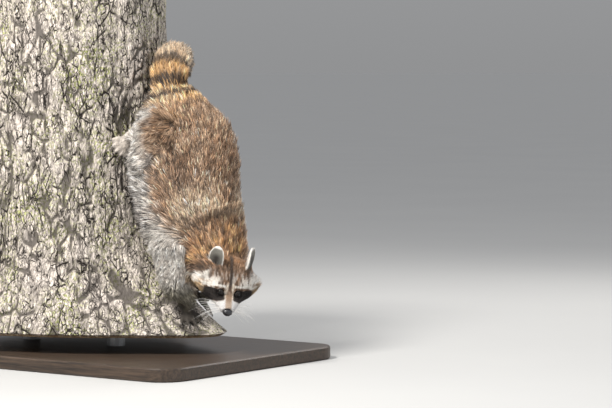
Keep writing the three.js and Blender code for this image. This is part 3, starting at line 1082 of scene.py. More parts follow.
class Anatomy:
    """Where each of a set of skin points lies on the animal, and how its coat grows there."""

    def __init__(self, points: Array, normals: Array, shares: Array) -> None:
        """Measures the points.

        Args:
            points: Places in metres.
            normals: Directions out of the skin.
            shares: For each point, how much it belongs to each of FLESH_NODES.
        """
        self.points = points
        self.normals = normals
        self.shares = shares
        self.head = HEAD.measure(points)
        self.spine = SPINE.measure(points)

    def share(self, *regions: Region) -> Array:
        """How much each point belongs to some regions, from 0 to 1."""
        names = [region.name.lower() for region in regions]
        columns = [i for i, node in enumerate(FLESH_NODES) if node.split("_")[0] in names]
        return self.shares[:, columns].sum(axis=1)

    def node_share(self, node: str) -> Array:
        """How much each point belongs to one CAD node, from 0 to 1."""
        return self.shares[:, FLESH_NODES.index(node)]

    def ruff(self) -> Array:
        """How far each point is on the long hair of the cheeks."""
        behind, left, above = self.head.T
        out = ramp(46, 66, np.abs(left)) * ramp(52, 66, behind)
        throat = ramp(-8, -30, above) * ramp(50, 80, behind)
        return self.share(Region.HEAD) * np.maximum(out, throat)

    def length(self) -> Array:
        """Length of the hair at each point, in millimetres."""
        key, turn = self.spine["key"], np.abs(self.spine["turn"])
        torso = 35.0 + 9.0 * hump(turn, math.radians(95), math.radians(40))
        tail = 30.0 + 10.0 * ramp(0, 3, key) - 6.0 * hump(key, 9, 1.5)
        neck = 33.0 - 11.0 * ramp(18.6, 20.6, key)
        behind = self.head[:, 0]
        face = 6.5 + 7.0 * ramp(50, 115, behind) - 3.3 * ramp(44, 30, behind)
        head = face + 13.0 * self.ruff()
        fore = 30.0 - 21.0 * ramp(0.185, 0.145, self.points[:, 2])
        hind = 30.0 - 20.0 * self.toward_foot()
        forepaw, hindfoot, ear = 5.0, 7.0, 3.8
        lengths = (tail, torso, neck, head, fore, hind, forepaw, hindfoot, ear)
        return sum(self.share(region) * length for region, length in zip(Region, lengths))

    def toward_foot(self) -> Array:
        """How near each point is to a hind foot, from 0 to 1."""
        return ramp(290, 262, TRUNK.measure(self.points)[1])

    def depth(self) -> Array:
        """How far the skin lies below the coat's tips, in millimetres."""
        depth = 0.36 * self.length() + 0.3
        ears, paws = self.share(Region.EAR), self.share(Region.FOREPAW, Region.HINDFOOT)
        tail = self.share(Region.TAIL) * 6.0 * ramp(0.2, 1.4, self.spine["key"])
        return depth * (1.0 - 0.35 * ears) * (1.0 - 0.55 * paws) + tail

    def flow(self) -> Array:
        """Direction in which the hair lies, laid on the skin."""
        spine = self.spine
        turn = spine["turn"]
        size = np.abs(turn)
        tailward = -spine["headward"]
        circle = spine["left"] * np.cos(turn)[:, None] - spine["dorsal"] * np.sin(turn)[:, None]
        ventral = circle * np.sign(turn)[:, None]
        flank = ramp(math.radians(40), math.radians(100), size)[:, None]
        body = tailward * (1.0 - 0.6 * flank) + ventral * 0.9 * flank
        behind, left, above = self.head.T
        out = np.sign(left) * ramp(12, 60, np.abs(left)) * ramp(30, 60, behind)
        face = HEAD.direction(-1.0, 0.85 * out, -0.25 * ramp(10, -30, above))
        ear = np.broadcast_to(HEAD.ear_rise(), face.shape)
        flow = self.share(Region.TAIL)[:, None] * tailward
        flow = flow + self.share(Region.TORSO, Region.NECK)[:, None] * body
        flow = flow + self.share(Region.HEAD)[:, None] * face
        flow = flow + self.share(Region.EAR)[:, None] * ear
        for name, leg in LEGS.items():
            flow = flow + self.node_share(name)[:, None] * leg.flow(self.points)
        for name, paw in PAWS.items():
            flow = flow + self.node_share(name)[:, None] * paw.direction(0.0)
        flow = flow - self.normals * (flow * self.normals).sum(axis=1, keepdims=True)
        return unit(flow)


# ---- Markings ----


class Tint(Enum):
    """The coat's own colours, linear, and one grey-black that is laid as painted shade."""

    WHITE = (0.88, 0.84, 0.78)
    MUZZLE = (0.66, 0.65, 0.64)
    SILVER = (0.62, 0.565, 0.51)
    # Grey-black laid as painted shade on the flanks and between pale locks, partly standing for dark
    # underfur.
    SHADE_SLATE = (0.13, 0.12, 0.117)
    CREAM = (0.66, 0.52, 0.37)
    GRIZZLE = (0.30, 0.18, 0.105)
    BROWN = (0.155, 0.092, 0.055)
    DARK = (0.045, 0.028, 0.019)
    MASK = (0.020, 0.014, 0.011)
    RUST = (0.38, 0.19, 0.075)
    GOLDEN = (0.58, 0.35, 0.155)
    OCHRE = (0.36, 0.235, 0.105)
    TAN = (0.42, 0.29, 0.19)
    OLIVE = (0.20, 0.18, 0.125)
    EAR_GREY = (0.19, 0.18, 0.155)
    PAW = (0.062, 0.052, 0.042)
    FOOT = (0.76, 0.69, 0.62)


class Paint:
    """A running colour for each point, on which masks lay further colours."""

    def __init__(self, count: int, tint: Tint) -> None:
        """Starts every point with one colour."""
        self.colour = np.tile(np.array(tint.value), (count, 1))

    def lay(self, tint: Tint, amount: Array) -> None:
        """Lays a colour where `amount` is above 0, wholly where it is 1."""
        share = np.clip(amount, 0.0, 1.0)[:, None]
        self.colour = self.colour * (1.0 - share) + np.array(tint.value) * share


@dataclass(frozen=True)
class Markings:
    """The raccoon's pattern, told in places on the body so that skin and coat agree.

    `mask_at` are distances from the head's middle; `mask_top` and `mask_low` the mask's edges there,
    and `brow` the middle of the white band, all as a height on the face in millimetres.
    """

    mask_at: tuple = (0.0, 6.0, 12.0, 24.0, 33.0, 42.0, 52.0, 60.0, 66.0)
    mask_top: tuple = (48.0, 53.0, 56.5, 60.5, 63.5, 66.0, 67.0, 65.5, 61.0)
    mask_low: tuple = (48.0, 45.0, 37.0, 31.0, 33.5, 39.0, 45.0, 52.0, 62.0)
    brow: tuple = (66.0, 68.5, 71.5, 72.5, 73.5, 75.0, 76.5, 78.0, 80.0)
    tail_bands: tuple = (
        (2.2, 2.9, 0.95), (3.3, 4.0, 0.95), (6.1, 6.7, 0.85),
        (7.55, 8.1, 0.97), (9.15, 9.75, 0.95),
    )
    ear_heights: tuple = (0.0, 18.0, 35.0, 47.0, 52.0)
    ear_widths: tuple = (0.86, 1.0, 0.95, 0.64, 0.24)

    def paint(self, place: Anatomy) -> Array:
        """Colours every point.

        Args:
            place: The points' anatomy.

        Returns:
            One linear colour for each point.
        """
        paint = Paint(len(place.points), Tint.GRIZZLE)
        for part in (self.body, self.tail, self.legs, self.head, self.ears):
            part(place, paint.lay)
        return paint.colour

    def body(self, place: Anatomy, lay: Callable) -> None:
        """Lays the grizzled back, the silver flanks and the rust of the nape, with painted shade on the
        belly side and lower flanks.
        """
        key, turn = place.spine["key"], place.spine["turn"]
        size = np.abs(np.degrees(turn))
        points = place.points
        broad = cloud(points, 0.055, 11)
        clump = cloud(points, 0.016, 12)
        fine = cloud(points, 0.0065, 15)
        trunk = place.share(Region.TORSO, Region.NECK, Region.HINDLEG, Region.FORELEG)
        lay(Tint.BROWN, trunk * 0.5 * ramp(0.1, 0.9, clump + 0.3 * broad))
        lay(Tint.TAN, trunk * 0.65 * ramp(0, 0.8, -clump + 0.3 * broad))
        rump = trunk * ramp(13.5, 10, key) * ramp(95, 60, size)
        lay(Tint.BROWN, rump * 0.3)
        lay(Tint.GOLDEN, rump * (0.10 + 0.25 * ramp(0, 0.8, clump)))
        saddle = trunk * hump(key, 16.2, 1.25) * ramp(80, 50, size) * ramp(-0.8, 0.4, broad)
        lay(Tint.CREAM, saddle * 0.6)
        whorl = trunk * hump(key, 14.6, 0.55) * hump(np.degrees(turn), -38, 24)
        lay(Tint.BROWN, whorl * 0.7)
        lay(Tint.DARK, trunk * 0.4 * ramp(0.15, 0.7, fine) * ramp(10.2, 11, key))
        lay(Tint.CREAM, trunk * 0.35 * ramp(-0.25, -0.8, fine) * ramp(10.2, 11, key))
        edge = np.interp(key, (14.5, 17), (68, 58))
        flank = ramp(edge, edge + 28, size + 10 * clump + 8 * broad) * ramp(9.6, 11.2, key)
        flank = flank * (1.0 - ramp(18.9, 19.8, key) * place.share(Region.NECK))
        lay(Tint.SILVER, trunk * flank * 0.92)
        lay(Tint.WHITE, trunk * flank * hump(size, 100, 22) * ramp(-0.6, 0.5, broad) * 0.6)
        # Painted shade on the belly side, which turns toward the trunk.
        belly_shade = ramp(110, 132, size + 6 * clump) * ramp(13, 14.2, key)
        lay(Tint.GRIZZLE, trunk * belly_shade * 0.75)
        # Painted shade on the lower flanks that turn toward the trunk, and in the gaps between the
        # flank's pale locks, where it stands partly for dark underfur.
        flank_shade = ramp(84, 112, size + 12 * clump) * ramp(11.4, 12.8, key) * ramp(17.5, 16, key)
        lay(Tint.SHADE_SLATE, trunk * np.maximum(flank_shade * 0.8, flank * ramp(-0.1, 0.4, fine) * 0.8))
        lay(Tint.WHITE, trunk * flank * ramp(15.8, 17.2, key) * ramp(0.8, 0, fine) * 0.95)
        nape = trunk * hump(key, 18.9, 0.95) * ramp(120, 85, size)
        lay(Tint.RUST, nape * (0.45 + 0.4 * ramp(-0.3, 0.5, clump)))
        lay(Tint.DARK, nape * 0.85 * ramp(0, 0.6, cloud(points, 0.011, 13)) * ramp(70, 35, size))
        lay(Tint.GOLDEN, nape * 0.85 * ramp(0, 0.6, cloud(points, 0.013, 14)) * ramp(70, 35, size))

    def tail(self, place: Anatomy, lay: Callable) -> None:
        """Lays the tail's rings, dark at its tip."""
        key = place.spine["key"] + 0.07 * cloud(place.points, 0.010, 21)
        tail = place.share(Region.TAIL) + place.share(Region.TORSO) * ramp(10.5, 10, key)
        clump = cloud(place.points, 0.014, 22)
        broad = cloud(place.points, 0.05, 23)
        lay(Tint.GOLDEN, tail)
        lay(Tint.CREAM, tail * 0.75 * ramp(6.6, 6.1, key))
        lay(Tint.CREAM, tail * 0.35 * ramp(0, 0.8, broad))
        lay(Tint.RUST, tail * 0.4 * ramp(0.1, 0.9, clump))
        dark = np.zeros(len(key))
        for start, end, strength in self.tail_bands:
            band = ramp(start - 0.1, start + 0.1, key) * ramp(end + 0.1, end - 0.1, key)
            dark = np.maximum(dark, band * strength)
        dark = np.maximum(dark, ramp(1.4, 1.1, key))
        lay(Tint.DARK, tail * dark * (1.0 - 0.15 * ramp(0.1, 0.8, clump)))

    def legs(self, place: Anatomy, lay: Callable) -> None:
        """Lays the pale thighs, the olive-grey forelegs and the paws, with painted shade between the
        legs' pale locks.
        """
        points = place.points
        clump = cloud(points, 0.012, 31)
        hind, fore = place.share(Region.HINDLEG), place.share(Region.FORELEG)
        outside = ramp(70, 100, np.abs(np.degrees(place.spine["turn"])))
        lay(Tint.SILVER, hind * outside * 0.8)
        lay(Tint.WHITE, hind * outside * ramp(-0.6, 0.6, clump) * 0.75)
        lay(Tint.WHITE, hind * place.toward_foot() * 0.5)
        fine = cloud(points, 0.0065, 15)
        # Painted shade in the gaps between the legs' pale locks, partly standing for dark underfur.
        lay(Tint.SHADE_SLATE, (hind + 0.6 * fore) * outside * ramp(0, 0.55, fine) * 0.65)
        low = ramp(0.205, 0.165, points[:, 2])
        lay(Tint.SILVER, fore * (1.0 - low) * 0.85)
        lay(Tint.WHITE, fore * (1.0 - low) * ramp(-0.8, 0.2, clump) * 0.8)
        lay(Tint.OLIVE, fore * low * 0.9)
        lay(Tint.PAW, fore * ramp(0.150, 0.132, points[:, 2]) * 0.55)
        lay(Tint.PAW, place.share(Region.FOREPAW))
        lay(Tint.OLIVE, place.share(Region.FOREPAW) * 0.4 * ramp(0.1, 0.7, clump))
        lay(Tint.FOOT, place.share(Region.HINDFOOT))
        lay(Tint.PAW, place.share(Region.HINDFOOT) * 0.35 * ramp(0.2, 0.8, clump))

    def head(self, place: Anatomy, lay: Callable) -> None:
        """Lays the mask, brows, cheeks, stripe and muzzle."""
        behind, left, above = place.head.T
        points = place.points
        side = np.abs(left)
        ragged = cloud(points, 0.006, 41)
        clump = cloud(points, 0.012, 42)
        strands = np.stack([0.3 * behind, left, 0.3 * above], axis=1) * MM
        fleck = cloud(strands, 0.0030, 43)
        height = behind + 0.55 * above + 1.6 * ragged + 2.0 * fleck * ramp(60, 75, behind)
        crown = place.share(Region.HEAD) + place.share(Region.NECK) * ramp(128, 112, behind)
        upper = ramp(-14, 2, above)
        lay(Tint.GRIZZLE, crown)
        lay(Tint.BROWN, crown * 0.55 * ramp(-0.3, 0.6, clump))
        lay(Tint.DARK, crown * 0.65 * ramp(0, -0.6, fleck) * upper)
        lay(Tint.SILVER, crown * 0.9 * ramp(-0.1, 0.45, fleck) * ramp(128, 88, height) * upper)
        lay(Tint.RUST, crown * ramp(116, 138, height) * 0.6 * upper)
        below = ramp(2, -16, above)
        lay(Tint.SILVER, crown * below * 0.85)
        lay(Tint.OCHRE, crown * hump(above, -12, 11) * ramp(46, 58, side) * 0.85)
        lay(Tint.OCHRE, crown * ramp(50, 58, side) * ramp(90, 80, height) * 0.75)
        collar = place.share(Region.HEAD, Region.NECK) * ramp(-24, -4, above)
        arc = height + 0.9 * (side - 60.0) + 2.0 * ragged
        lay(Tint.GOLDEN, collar * ramp(38, 54, side) * hump(arc, 157, 11) * 0.8)
        lay(Tint.BROWN, collar * ramp(42, 52, side) * hump(arc, 128, 13) * 0.9)
        limit = np.interp(side, (44, 54, 66), (116, 107, 96)) + 3.0 * fleck
        start = np.interp(side, (46, 64), (76, 86)) + 2.0 * fleck
        cheek = ramp(40, 52, side + 3 * clump) * ramp(start - 3, start + 3, height)
        cheek = cheek * ramp(limit + 4, limit - 4, height)
        lay(Tint.WHITE, crown * cheek * (0.95 - 0.35 * ramp(0.1, 0.7, -fleck)))
        smear = hump(height, 65 + 0.3 * side, 3.6) * ramp(44, 50, side) * ramp(0.5, -0.2, fleck)
        middle = np.interp(side, self.mask_at, self.brow)
        thick = (3.6 + 4.0 * ramp(25, 60, side)) * (1.0 + 0.35 * fleck)
        brow = ramp(thick + 1.6, thick - 1.6, np.abs(height - middle)) * ramp(5, 9, side) * upper
        brow = brow * ramp(62, 54, side)
        veil = ramp(28, 9, height - middle) * ramp(14, 30, side) * ramp(-0.7, 0.1, fleck) * upper
        lay(Tint.WHITE, crown * veil * ramp(-4, 0, height - middle) * 0.85)
        lay(Tint.WHITE, crown * brow * (1.0 - 0.45 * ramp(0.1, 0.7, -fleck)))
        lay(Tint.TAN, crown * smear * 0.8)
        top = np.interp(side, self.mask_at, self.mask_top)
        low = np.interp(side, self.mask_at, self.mask_low)
        mask = ramp(top + 1.3, top - 1.3, height) * ramp(low - 1.6, low + 1.6, height)
        mask = mask * ramp(4, 8, side) * ramp(59, 53, side)
        front = ramp(30, 24, behind) * ramp(7, 10, side)
        under = ramp(low + 1, low - 4, height) * upper
        lay(Tint.MUZZLE, crown * np.maximum(front, under) * 0.95)
        jaw = ramp(-3, -9, above) * ramp(48, 40, behind)
        lay(Tint.MUZZLE, crown * jaw * 0.8)
        lay(Tint.MASK, crown * mask)
        cream = hump(side, 6.6, 2.7) * ramp(38, 44, height) * ramp(82, 74, height)
        lay(Tint.CREAM, crown * cream * upper)
        lay(Tint.WHITE, crown * cream * 0.5 * upper)
        stripe = ramp(4.4, 2, side + 0.5 * ragged) * upper
        lay(Tint.DARK, crown * stripe * ramp(60, 72, height) * ramp(160, 140, height) * 0.92)
        spread = 2.6 + 3.6 * ramp(68, 50, height)
        wedge = ramp(spread + 1.5, spread - 1.5, side) * ramp(76, 66, height)
        wedge = wedge * ramp(28, 40, height)
        lay(Tint.BROWN, crown * wedge * upper * 0.75)
        bridge = ramp(9.5, 5, side) * ramp(48, 38, behind) * ramp(2, 6, above)
        lay(Tint.TAN, crown * bridge * ramp(3, 14, behind) * 0.8)
        lay(Tint.BROWN, crown * bridge * ramp(14, 30, behind) * 0.4)
        lip = hump(above, self.lip_height(behind), 1.4) * ramp(44, 36, behind)
        lip = lip * ramp(3, 6, behind)
        lay(Tint.MASK, crown * lip * 0.9)

    @staticmethod
    def lip_height(behind: Array) -> Array:
        """Height of the mouth's line along the muzzle."""
        return -7.5 - 0.12 * behind

    def ears(self, place: Anatomy, lay: Callable) -> None:
        """Lays grey inside the ears, painted shade in their opening, a white rim and a pale back."""
        for side in (RIGHT, LEFT):
            share = ramp(0.4, 0.75, place.node_share(f"ear_{SIDE_NAMES[side]}"))
            offset = (place.points - HEAD.ear_base(side)) / MM
            rise, front = HEAD.ear_rise(), HEAD.ear_front(side)
            across = np.cross(rise, front)
            height, width = offset @ rise, np.abs(offset @ across)
            inside = ramp(-0.1, 0.35, place.normals @ front)
            lay(Tint.SILVER, share)
            lay(Tint.DARK, share * (1.0 - inside) * ramp(26, 8, height) * 0.8)
            lay(Tint.EAR_GREY, share * inside)
            # Painted shade in the deep middle of the ear's hollow.
            hollow = hump(width, 0, 11) * ramp(38, 24, height)
            lay(Tint.MASK, share * inside * hollow * 0.97)
            outline = HEAD.ear_half_width * np.interp(height, self.ear_heights, self.ear_widths)
            rim = np.maximum(ramp(5.5, 2.5, outline - width), ramp(44, 48, height))
            lay(Tint.WHITE, share * rim * 0.95)


MARKINGS = Markings()


# ---- Skin ----


@dataclass
class Skin:
    """The one skin that covers all the flesh, as deep under the solids as the coat is thick."""

    voxel: float = 3.1 * MM
    seam: float = 0.6 * MM
    inset_steps: int = 6
    thing: Object | None = None
    shares: Array = field(default_factory=lambda: np.empty(0))

    def build(self, finish: Material) -> None:
        """Builds, shapes, colours and dresses the skin."""
        tree, owners = self.gather()
        self.remesh()
        self.refine()
        self.shares = self.find_shares(tree, owners)
        self.inset()
        self.sculpt_face()
        bpy.ops.object.shade_smooth()
        place = self.anatomy()
        # Darker where the coat is long: partly the underfur's own colour, partly painted shade deep in
        # the coat.
        underfur_and_shade = 1.0 - 0.62 * ramp(12, 24, place.length())
        write_colour(self.thing.data, "tint", MARKINGS.paint(place) * underfur_and_shade[:, None])
        keep_piece(self.thing, finish, FLESH_NODES)

    def gather(self) -> tuple:
        """Joins copies of the flesh nodes, each grown a little so that they overlap.

        Returns:
            A search tree of the joined faces and the number of the node that owns each face.
        """
        copies = []
        for index, name in enumerate(FLESH_NODES):
            mesh = frame["nodes"][name].data.copy()
            copy = bpy.data.objects.new(f"{name}_flesh", mesh)
            bpy.context.scene.collection.objects.link(copy)
            owner = mesh.attributes.new("owner", "INT", "FACE")
            owner.data.foreach_set("value", np.full(len(mesh.polygons), index, dtype=np.int32))
            copies.append(copy)
        select_none()
        for copy in copies:
            copy.select_set(True)
        bpy.context.view_layer.objects.active = copies[0]
        bpy.ops.object.join()
        self.thing = bpy.context.view_layer.objects.active
        self.thing.name = "skin"
        self.thing.data.name = "skin"
        with editing(self.thing):
            bpy.ops.mesh.remove_doubles(threshold=0.01 * MM)
        mesh = self.thing.data
        points = read_points(mesh) + read_points(mesh, "normal") * self.seam
        write_points(mesh, points)
        owners = read_rows(mesh.attributes["owner"].data, "value", 1, np.int32)[:, 0]
        faces = [tuple(face.vertices) for face in mesh.polygons]
        return BVHTree.FromPolygons([Vector(p) for p in points], faces), owners

    def remesh(self) -> None:
        """Turns the overlapping copies into one even closed skin."""
        make_active(self.thing)
        remesher = self.thing.modifiers.new("one_skin", "REMESH")
        remesher.mode = "VOXEL"
        remesher.voxel_size = self.voxel
        bpy.ops.object.modifier_apply(modifier=remesher.name)
        heights = read_points(self.thing.data)[:, 2]
        with editing(self.thing, "VERT", np.arange(len(heights)) == heights.argmax()):
            bpy.ops.mesh.select_linked()
            bpy.ops.mesh.select_all(action="INVERT")
            bpy.ops.mesh.delete(type="VERT")

    def refine(self) -> None:
        """Divides the faces of the face and paws once more."""
        middles = read_rows(self.thing.data.polygons, "center", 3)
        behind, left, above = HEAD.measure(middles).T
        fine = (behind < 66.0) & (np.abs(left) < 48.0) & (above > -40.0) & (behind > -20.0)
        for paw in PAWS.values():
            ball = from_trunk(paw.on_bark(0, 0.6 * paw.reach(0), paw.form.toe_radius))
            fine |= np.linalg.norm(middles - ball, axis=1) < 34.0 * MM
        with editing(self.thing, "FACE", fine):
            bpy.ops.mesh.subdivide(number_cuts=1, smoothness=0.0)

    def find_shares(self, tree: BVHTree, owners: Array) -> Array:
        """Finds how much each vertex belongs to each flesh node, blended over the seams."""
        mesh = self.thing.data
        shares = np.zeros((len(mesh.vertices), len(FLESH_NODES)))
        for index, point in enumerate(read_points(mesh)):
            face = tree.find_nearest(point)[2]
            shares[index, owners[face]] = 1.0
        return relax(shares, read_edges(mesh), 8)

    def anatomy(self) -> Anatomy:
        """Measures the skin's vertices as they are now."""
        mesh = self.thing.data
        return Anatomy(read_points(mesh), read_points(mesh, "normal"), self.shares)

    def inset(self) -> None:
        """Sinks the skin by the coat's depth in small smoothed steps."""
        mesh = self.thing.data
        edges = read_edges(mesh)
        write_points(mesh, relax(read_points(mesh), edges, 4, 0.5))
        depth = relax(self.anatomy().depth()[:, None], edges, 10) * MM
        evening = 0.45 * np.clip(depth / (8.0 * MM), 0.05, 1.0)
        for _ in range(self.inset_steps):
            points = read_points(mesh) - read_points(mesh, "normal") * depth / self.inset_steps
            write_points(mesh, relax(points, edges, 1, evening))

    def sculpt_face(self) -> None:
        """Shapes the eye sockets, brow, lips, chin and mouth into the skin."""
        mesh = self.thing.data
        points = read_points(mesh)
        normals = read_points(mesh, "normal")
        behind, left, above = HEAD.measure(points).T
        near = ramp(90, 70, behind) * ramp(0, 0.5, self.shares[:, FLESH_NODES.index("head")])
        side = np.abs(left)
        push = 1.6 * hump(behind, 16, 9) * hump(side, 11, 6) * hump(above, -2, 7)
        push += 1.4 * hump(behind, 57, 7) * hump(side, 20, 10) * ramp(10, 20, above)
        push += 1.2 * hump(behind, 14, 6) * hump(side, 0, 8) * ramp(-8, -13, above)
        push -= 1.6 * hump(above, Markings.lip_height(behind), 1.5) * ramp(42, 34, behind)
        push -= 1.0 * hump(behind, 42, 8) * hump(side, 9, 4) * ramp(8, 14, above)
        points = points + normals * (push * near * MM)[:, None]
        for eye in (RIGHT, LEFT):
            ahead, around = HEAD.around_eye(points, eye)
            sink = np.maximum(0.0, ahead + 1.0 * MM) * ramp(9.6 * MM, 7.6 * MM, around)
            sink = np.where(np.hypot(ahead, around) < 24.0 * MM, sink, 0.0)
            points = points - HEAD.gaze(eye) * sink[:, None]
        write_points(mesh, points)


# ---- Coat ----


class Lock(Enum):
    """Kinds of tuft: heights of its rings along it and how wide it is at each."""

    LONG = ((0.0, 0.38, 0.74, 1.0), (1.0, 0.94, 0.6))
    SHORT = ((0.0, 0.55, 1.0), (1.0, 0.78))


@dataclass(frozen=True)
class CoatPlan:
    """One piece of coat: how many tufts it has and how they grow.

    `tone` is how much tufts differ in brightness and `root` how bright their roots are, `pale_root`
    where the coat is pale; the dark roots are partly underfur colour and partly painted shade deep in
    the coat. The lifts are their angles to the skin at root and tip in degrees. About `bunch` tufts
    lean together into one lock, by the share `gather` at their tips.
    """

    name: str
    slot: str
    count: int
    width: float
    lift: tuple
    sway: float
    tone: float
    root: float
    pale_root: float = 0.42
    bunch: int = 7
    gather: float = 0.6
    lock: Lock = Lock.LONG


COAT_PLANS = (
    CoatPlan("coat_tail", "tail_coat", 9000, 2.0, (40.0, 14.0), 11.0, 0.45, 0.40),
    CoatPlan("coat_rump", "body_coat", 11500, 1.8, (38.0, 12.0), 15.0, 0.95, 0.26, 0.30, 4, 0.42),
    CoatPlan("coat_back", "body_coat", 12000, 1.8, (38.0, 12.0), 16.0, 0.95, 0.26, 0.30, 4, 0.42),
    CoatPlan("coat_flank_right", "body_coat", 9000, 2.1, (40.0, 14.0), 16.0, 0.90, 0.16, 0.18),
    CoatPlan("coat_flank_left", "body_coat", 8500, 2.2, (40.0, 14.0), 16.0, 0.90, 0.16, 0.18),
    CoatPlan("coat_neck", "body_coat", 9500, 1.8, (36.0, 12.0), 15.0, 0.80, 0.24, 0.30, 4, 0.42),
    CoatPlan("coat_forelegs", "leg_coat", 8000, 1.6, (34.0, 12.0), 14.0, 0.55, 0.30),
    CoatPlan("coat_hindlegs", "leg_coat", 8500, 1.9, (36.0, 12.0), 14.0, 0.55, 0.30),
    CoatPlan(
        "coat_face", "face_coat", 19500, 1.15, (32.0, 12.0), 10.0, 0.45, 0.65, 0.9, 5, 0.3, Lock.SHORT
    ),
    CoatPlan(
        "coat_trim", "face_coat", 9500, 0.95, (24.0, 8.0), 12.0, 0.35, 0.65, 0.9, 5, 0.3, Lock.SHORT
    ),
)
PLAN_NUMBER = {plan.name: index for index, plan in enumerate(COAT_PLANS)}
REGION_COATS = {
    Region.TAIL: "coat_tail",
    Region.NECK: "coat_neck",
    Region.HEAD: "coat_face",
    Region.FORELEG: "coat_forelegs",
    Region.HINDLEG: "coat_hindlegs",
    Region.FOREPAW: "coat_trim",
    Region.HINDFOOT: "coat_trim",
    Region.EAR: "coat_trim",
}


@dataclass
class Tufts:
    """The tufts of one coat piece; every array has a row for each tuft, in metres."""

    plan: CoatPlan
    place: Anatomy
    rng: np.random.Generator
    patch: float = 0.003

    def build(self, finish: Material, thicker: float) -> None:
        """Grows the tufts, wider by the factor `thicker`, and joins them into one piece."""
        plan, points, rng = self.plan, self.place.points, self.rng
        count = len(points)
        self.heights, self.widths = plan.lock.value
        self.length = np.clip(self.place.length(), 2.5, None) * rng.uniform(0.72, 1.15, count) * MM
        slim = np.clip(self.length / (12.0 * MM), 0.55, 1.0)
        width = plan.width * thicker * MM * rng.uniform(0.7, 1.25, count) * slim
        self.flow = self.lie()
        clump = 0.6 * plan.sway * (cloud(points, 0.022, 51) + cloud(points, 0.009, 52))
        sway = np.radians(clump + plan.sway * 0.55 * rng.standard_normal(count))
        self.flow = self.veer(sway)
        bend = np.radians(rng.normal(0.0, plan.sway, count))
        lift = 1.0 + 0.22 * cloud(points, 0.016, 53) + 0.14 * rng.standard_normal(count)
        stations = self.stations(np.clip(lift, 0.35, 1.7), bend)
        self.leader = self.leaders()
        pull = plan.gather * np.array(self.heights)[:, None] ** 1.3
        stations = stations + (stations[self.leader] - stations) * pull
        keep = self.clear_of_eyes(stations)
        colours = self.colours()[keep]
        spots = np.clip(self.unwrap(), 0.002, 0.996 - self.patch)[keep]
        thing = self.mesh(self.rings(stations, width)[keep], colours, spots)
        keep_piece(thing, finish)

    def lie(self) -> Array:
        """Direction of each tuft along the skin, swept round the eyes."""
        flow, normals = self.place.flow(), self.place.normals
        for side in (RIGHT, LEFT):
            offset = self.place.points - HEAD.eye_centre(side)
            reach = np.linalg.norm(offset, axis=1)
            away = unit(offset - normals * (offset * normals).sum(axis=1, keepdims=True))
            flow = unit(flow + away * (1.6 * hump(reach, 8 * MM, 7 * MM))[:, None])
        return flow

    def veer(self, turn: Array) -> Array:
        """Turns each tuft's direction along the skin by an angle in radians."""
        across = np.cross(self.place.normals, self.flow)
        return self.flow * np.cos(turn)[:, None] + across * np.sin(turn)[:, None]

    def stations(self, lift: Array, bend: Array) -> Array:
        """Runs each tuft's middle line out of the skin.

        Args:
            lift: Factor on the plan's angles to the skin for each tuft.
            bend: Sideways turn of each tuft from root to tip, in radians.

        Returns:
            Places of the rings, one row of them for each tuft.
        """
        normals, (root, tip) = self.place.normals, self.plan.lift
        point = self.place.points - normals * 0.8 * MM
        line = [point]
        for low, high in zip(self.heights[:-1], self.heights[1:]):
            middle = (low + high) / 2
            angle = np.radians(root * (1.0 - middle) + tip * middle) * lift
            along = self.veer(bend * middle)
            heading = along * np.cos(angle)[:, None] + normals * np.sin(angle)[:, None]
            point = point + heading * (self.length * (high - low))[:, None]
            point = TRUNK.clear_of_bark(point, 1.2)
            line.append(point)
        return np.stack(line, axis=1)

    def leaders(self) -> Array:
        """Finds the number of the tuft round which each tuft's lock gathers."""
        points = self.place.points
        chosen = self.rng.permutation(len(points))[: max(1, len(points) // self.plan.bunch)]
        tree = KDTree(len(chosen))
        for index in chosen:
            tree.insert(points[index], int(index))
        tree.balance()
        return np.array([tree.find(point)[1] for point in points])

    @staticmethod
    def clear_of_eyes(stations: Array) -> Array:
        """Tells which tufts stay off the eyeballs."""
        keep = np.ones(len(stations), dtype=bool)
        for side in (RIGHT, LEFT):
            ahead, around = HEAD.around_eye(stations, side)
            hides = (ahead > 0.0) & (ahead < 25.0 * MM) & (around < 6.4 * MM)
            keep &= ~hides.any(axis=1)
        return keep

    def colours(self) -> Array:
        """Colours each ring of each tuft: dark roots of underfur and painted shade, the marking's colour,
        a pale or dark tip.
        """
        plan, place = self.plan, self.place
        seen = place.points + self.flow * (0.62 * self.length)[:, None]
        base = MARKINGS.paint(Anatomy(seen, place.normals, place.shares))
        count = len(base)
        bright = base.mean(axis=1)
        kind, shade = self.rng.random(count), self.rng.standard_normal(count)
        kind = 0.55 * kind[self.leader] + 0.45 * kind
        guard, pale = kind < 0.33, kind > 0.68
        tone = np.exp(plan.tone * (0.5 * shade[self.leader] + 0.3 * shade))
        tip = np.where(guard, 1.0 - 0.85 * plan.tone, np.where(pale, 1.0 + 0.8 * plan.tone, 1.0))
        light = ramp(0.45, 0.75, bright)
        tip = tip * (1.0 - light) + np.maximum(tip, 0.75) * light
        tone = tone ** (1.0 - 0.6 * light)
        # Roots are darker: partly the underfur's colour, partly painted shade deep in the coat.
        root = plan.root + (plan.pale_root - plan.root) * light
        grey = bright[:, None] * np.array([1.06, 1.0, 0.93])
        rows = []
        for height in self.heights:
            gain = root + (1.0 - root) * ramp(0, 0.5, height)
            gain = gain * (1.0 + (tip - 1.0) * ramp(0.4, 1, height))
            share = (0.35 * pale * height)[:, None]
            mixed = base * (1.0 - share) + grey * share
            rows.append(np.clip(mixed * (gain * tone)[:, None], 0.002, 0.92))
        return np.stack(rows, axis=1)

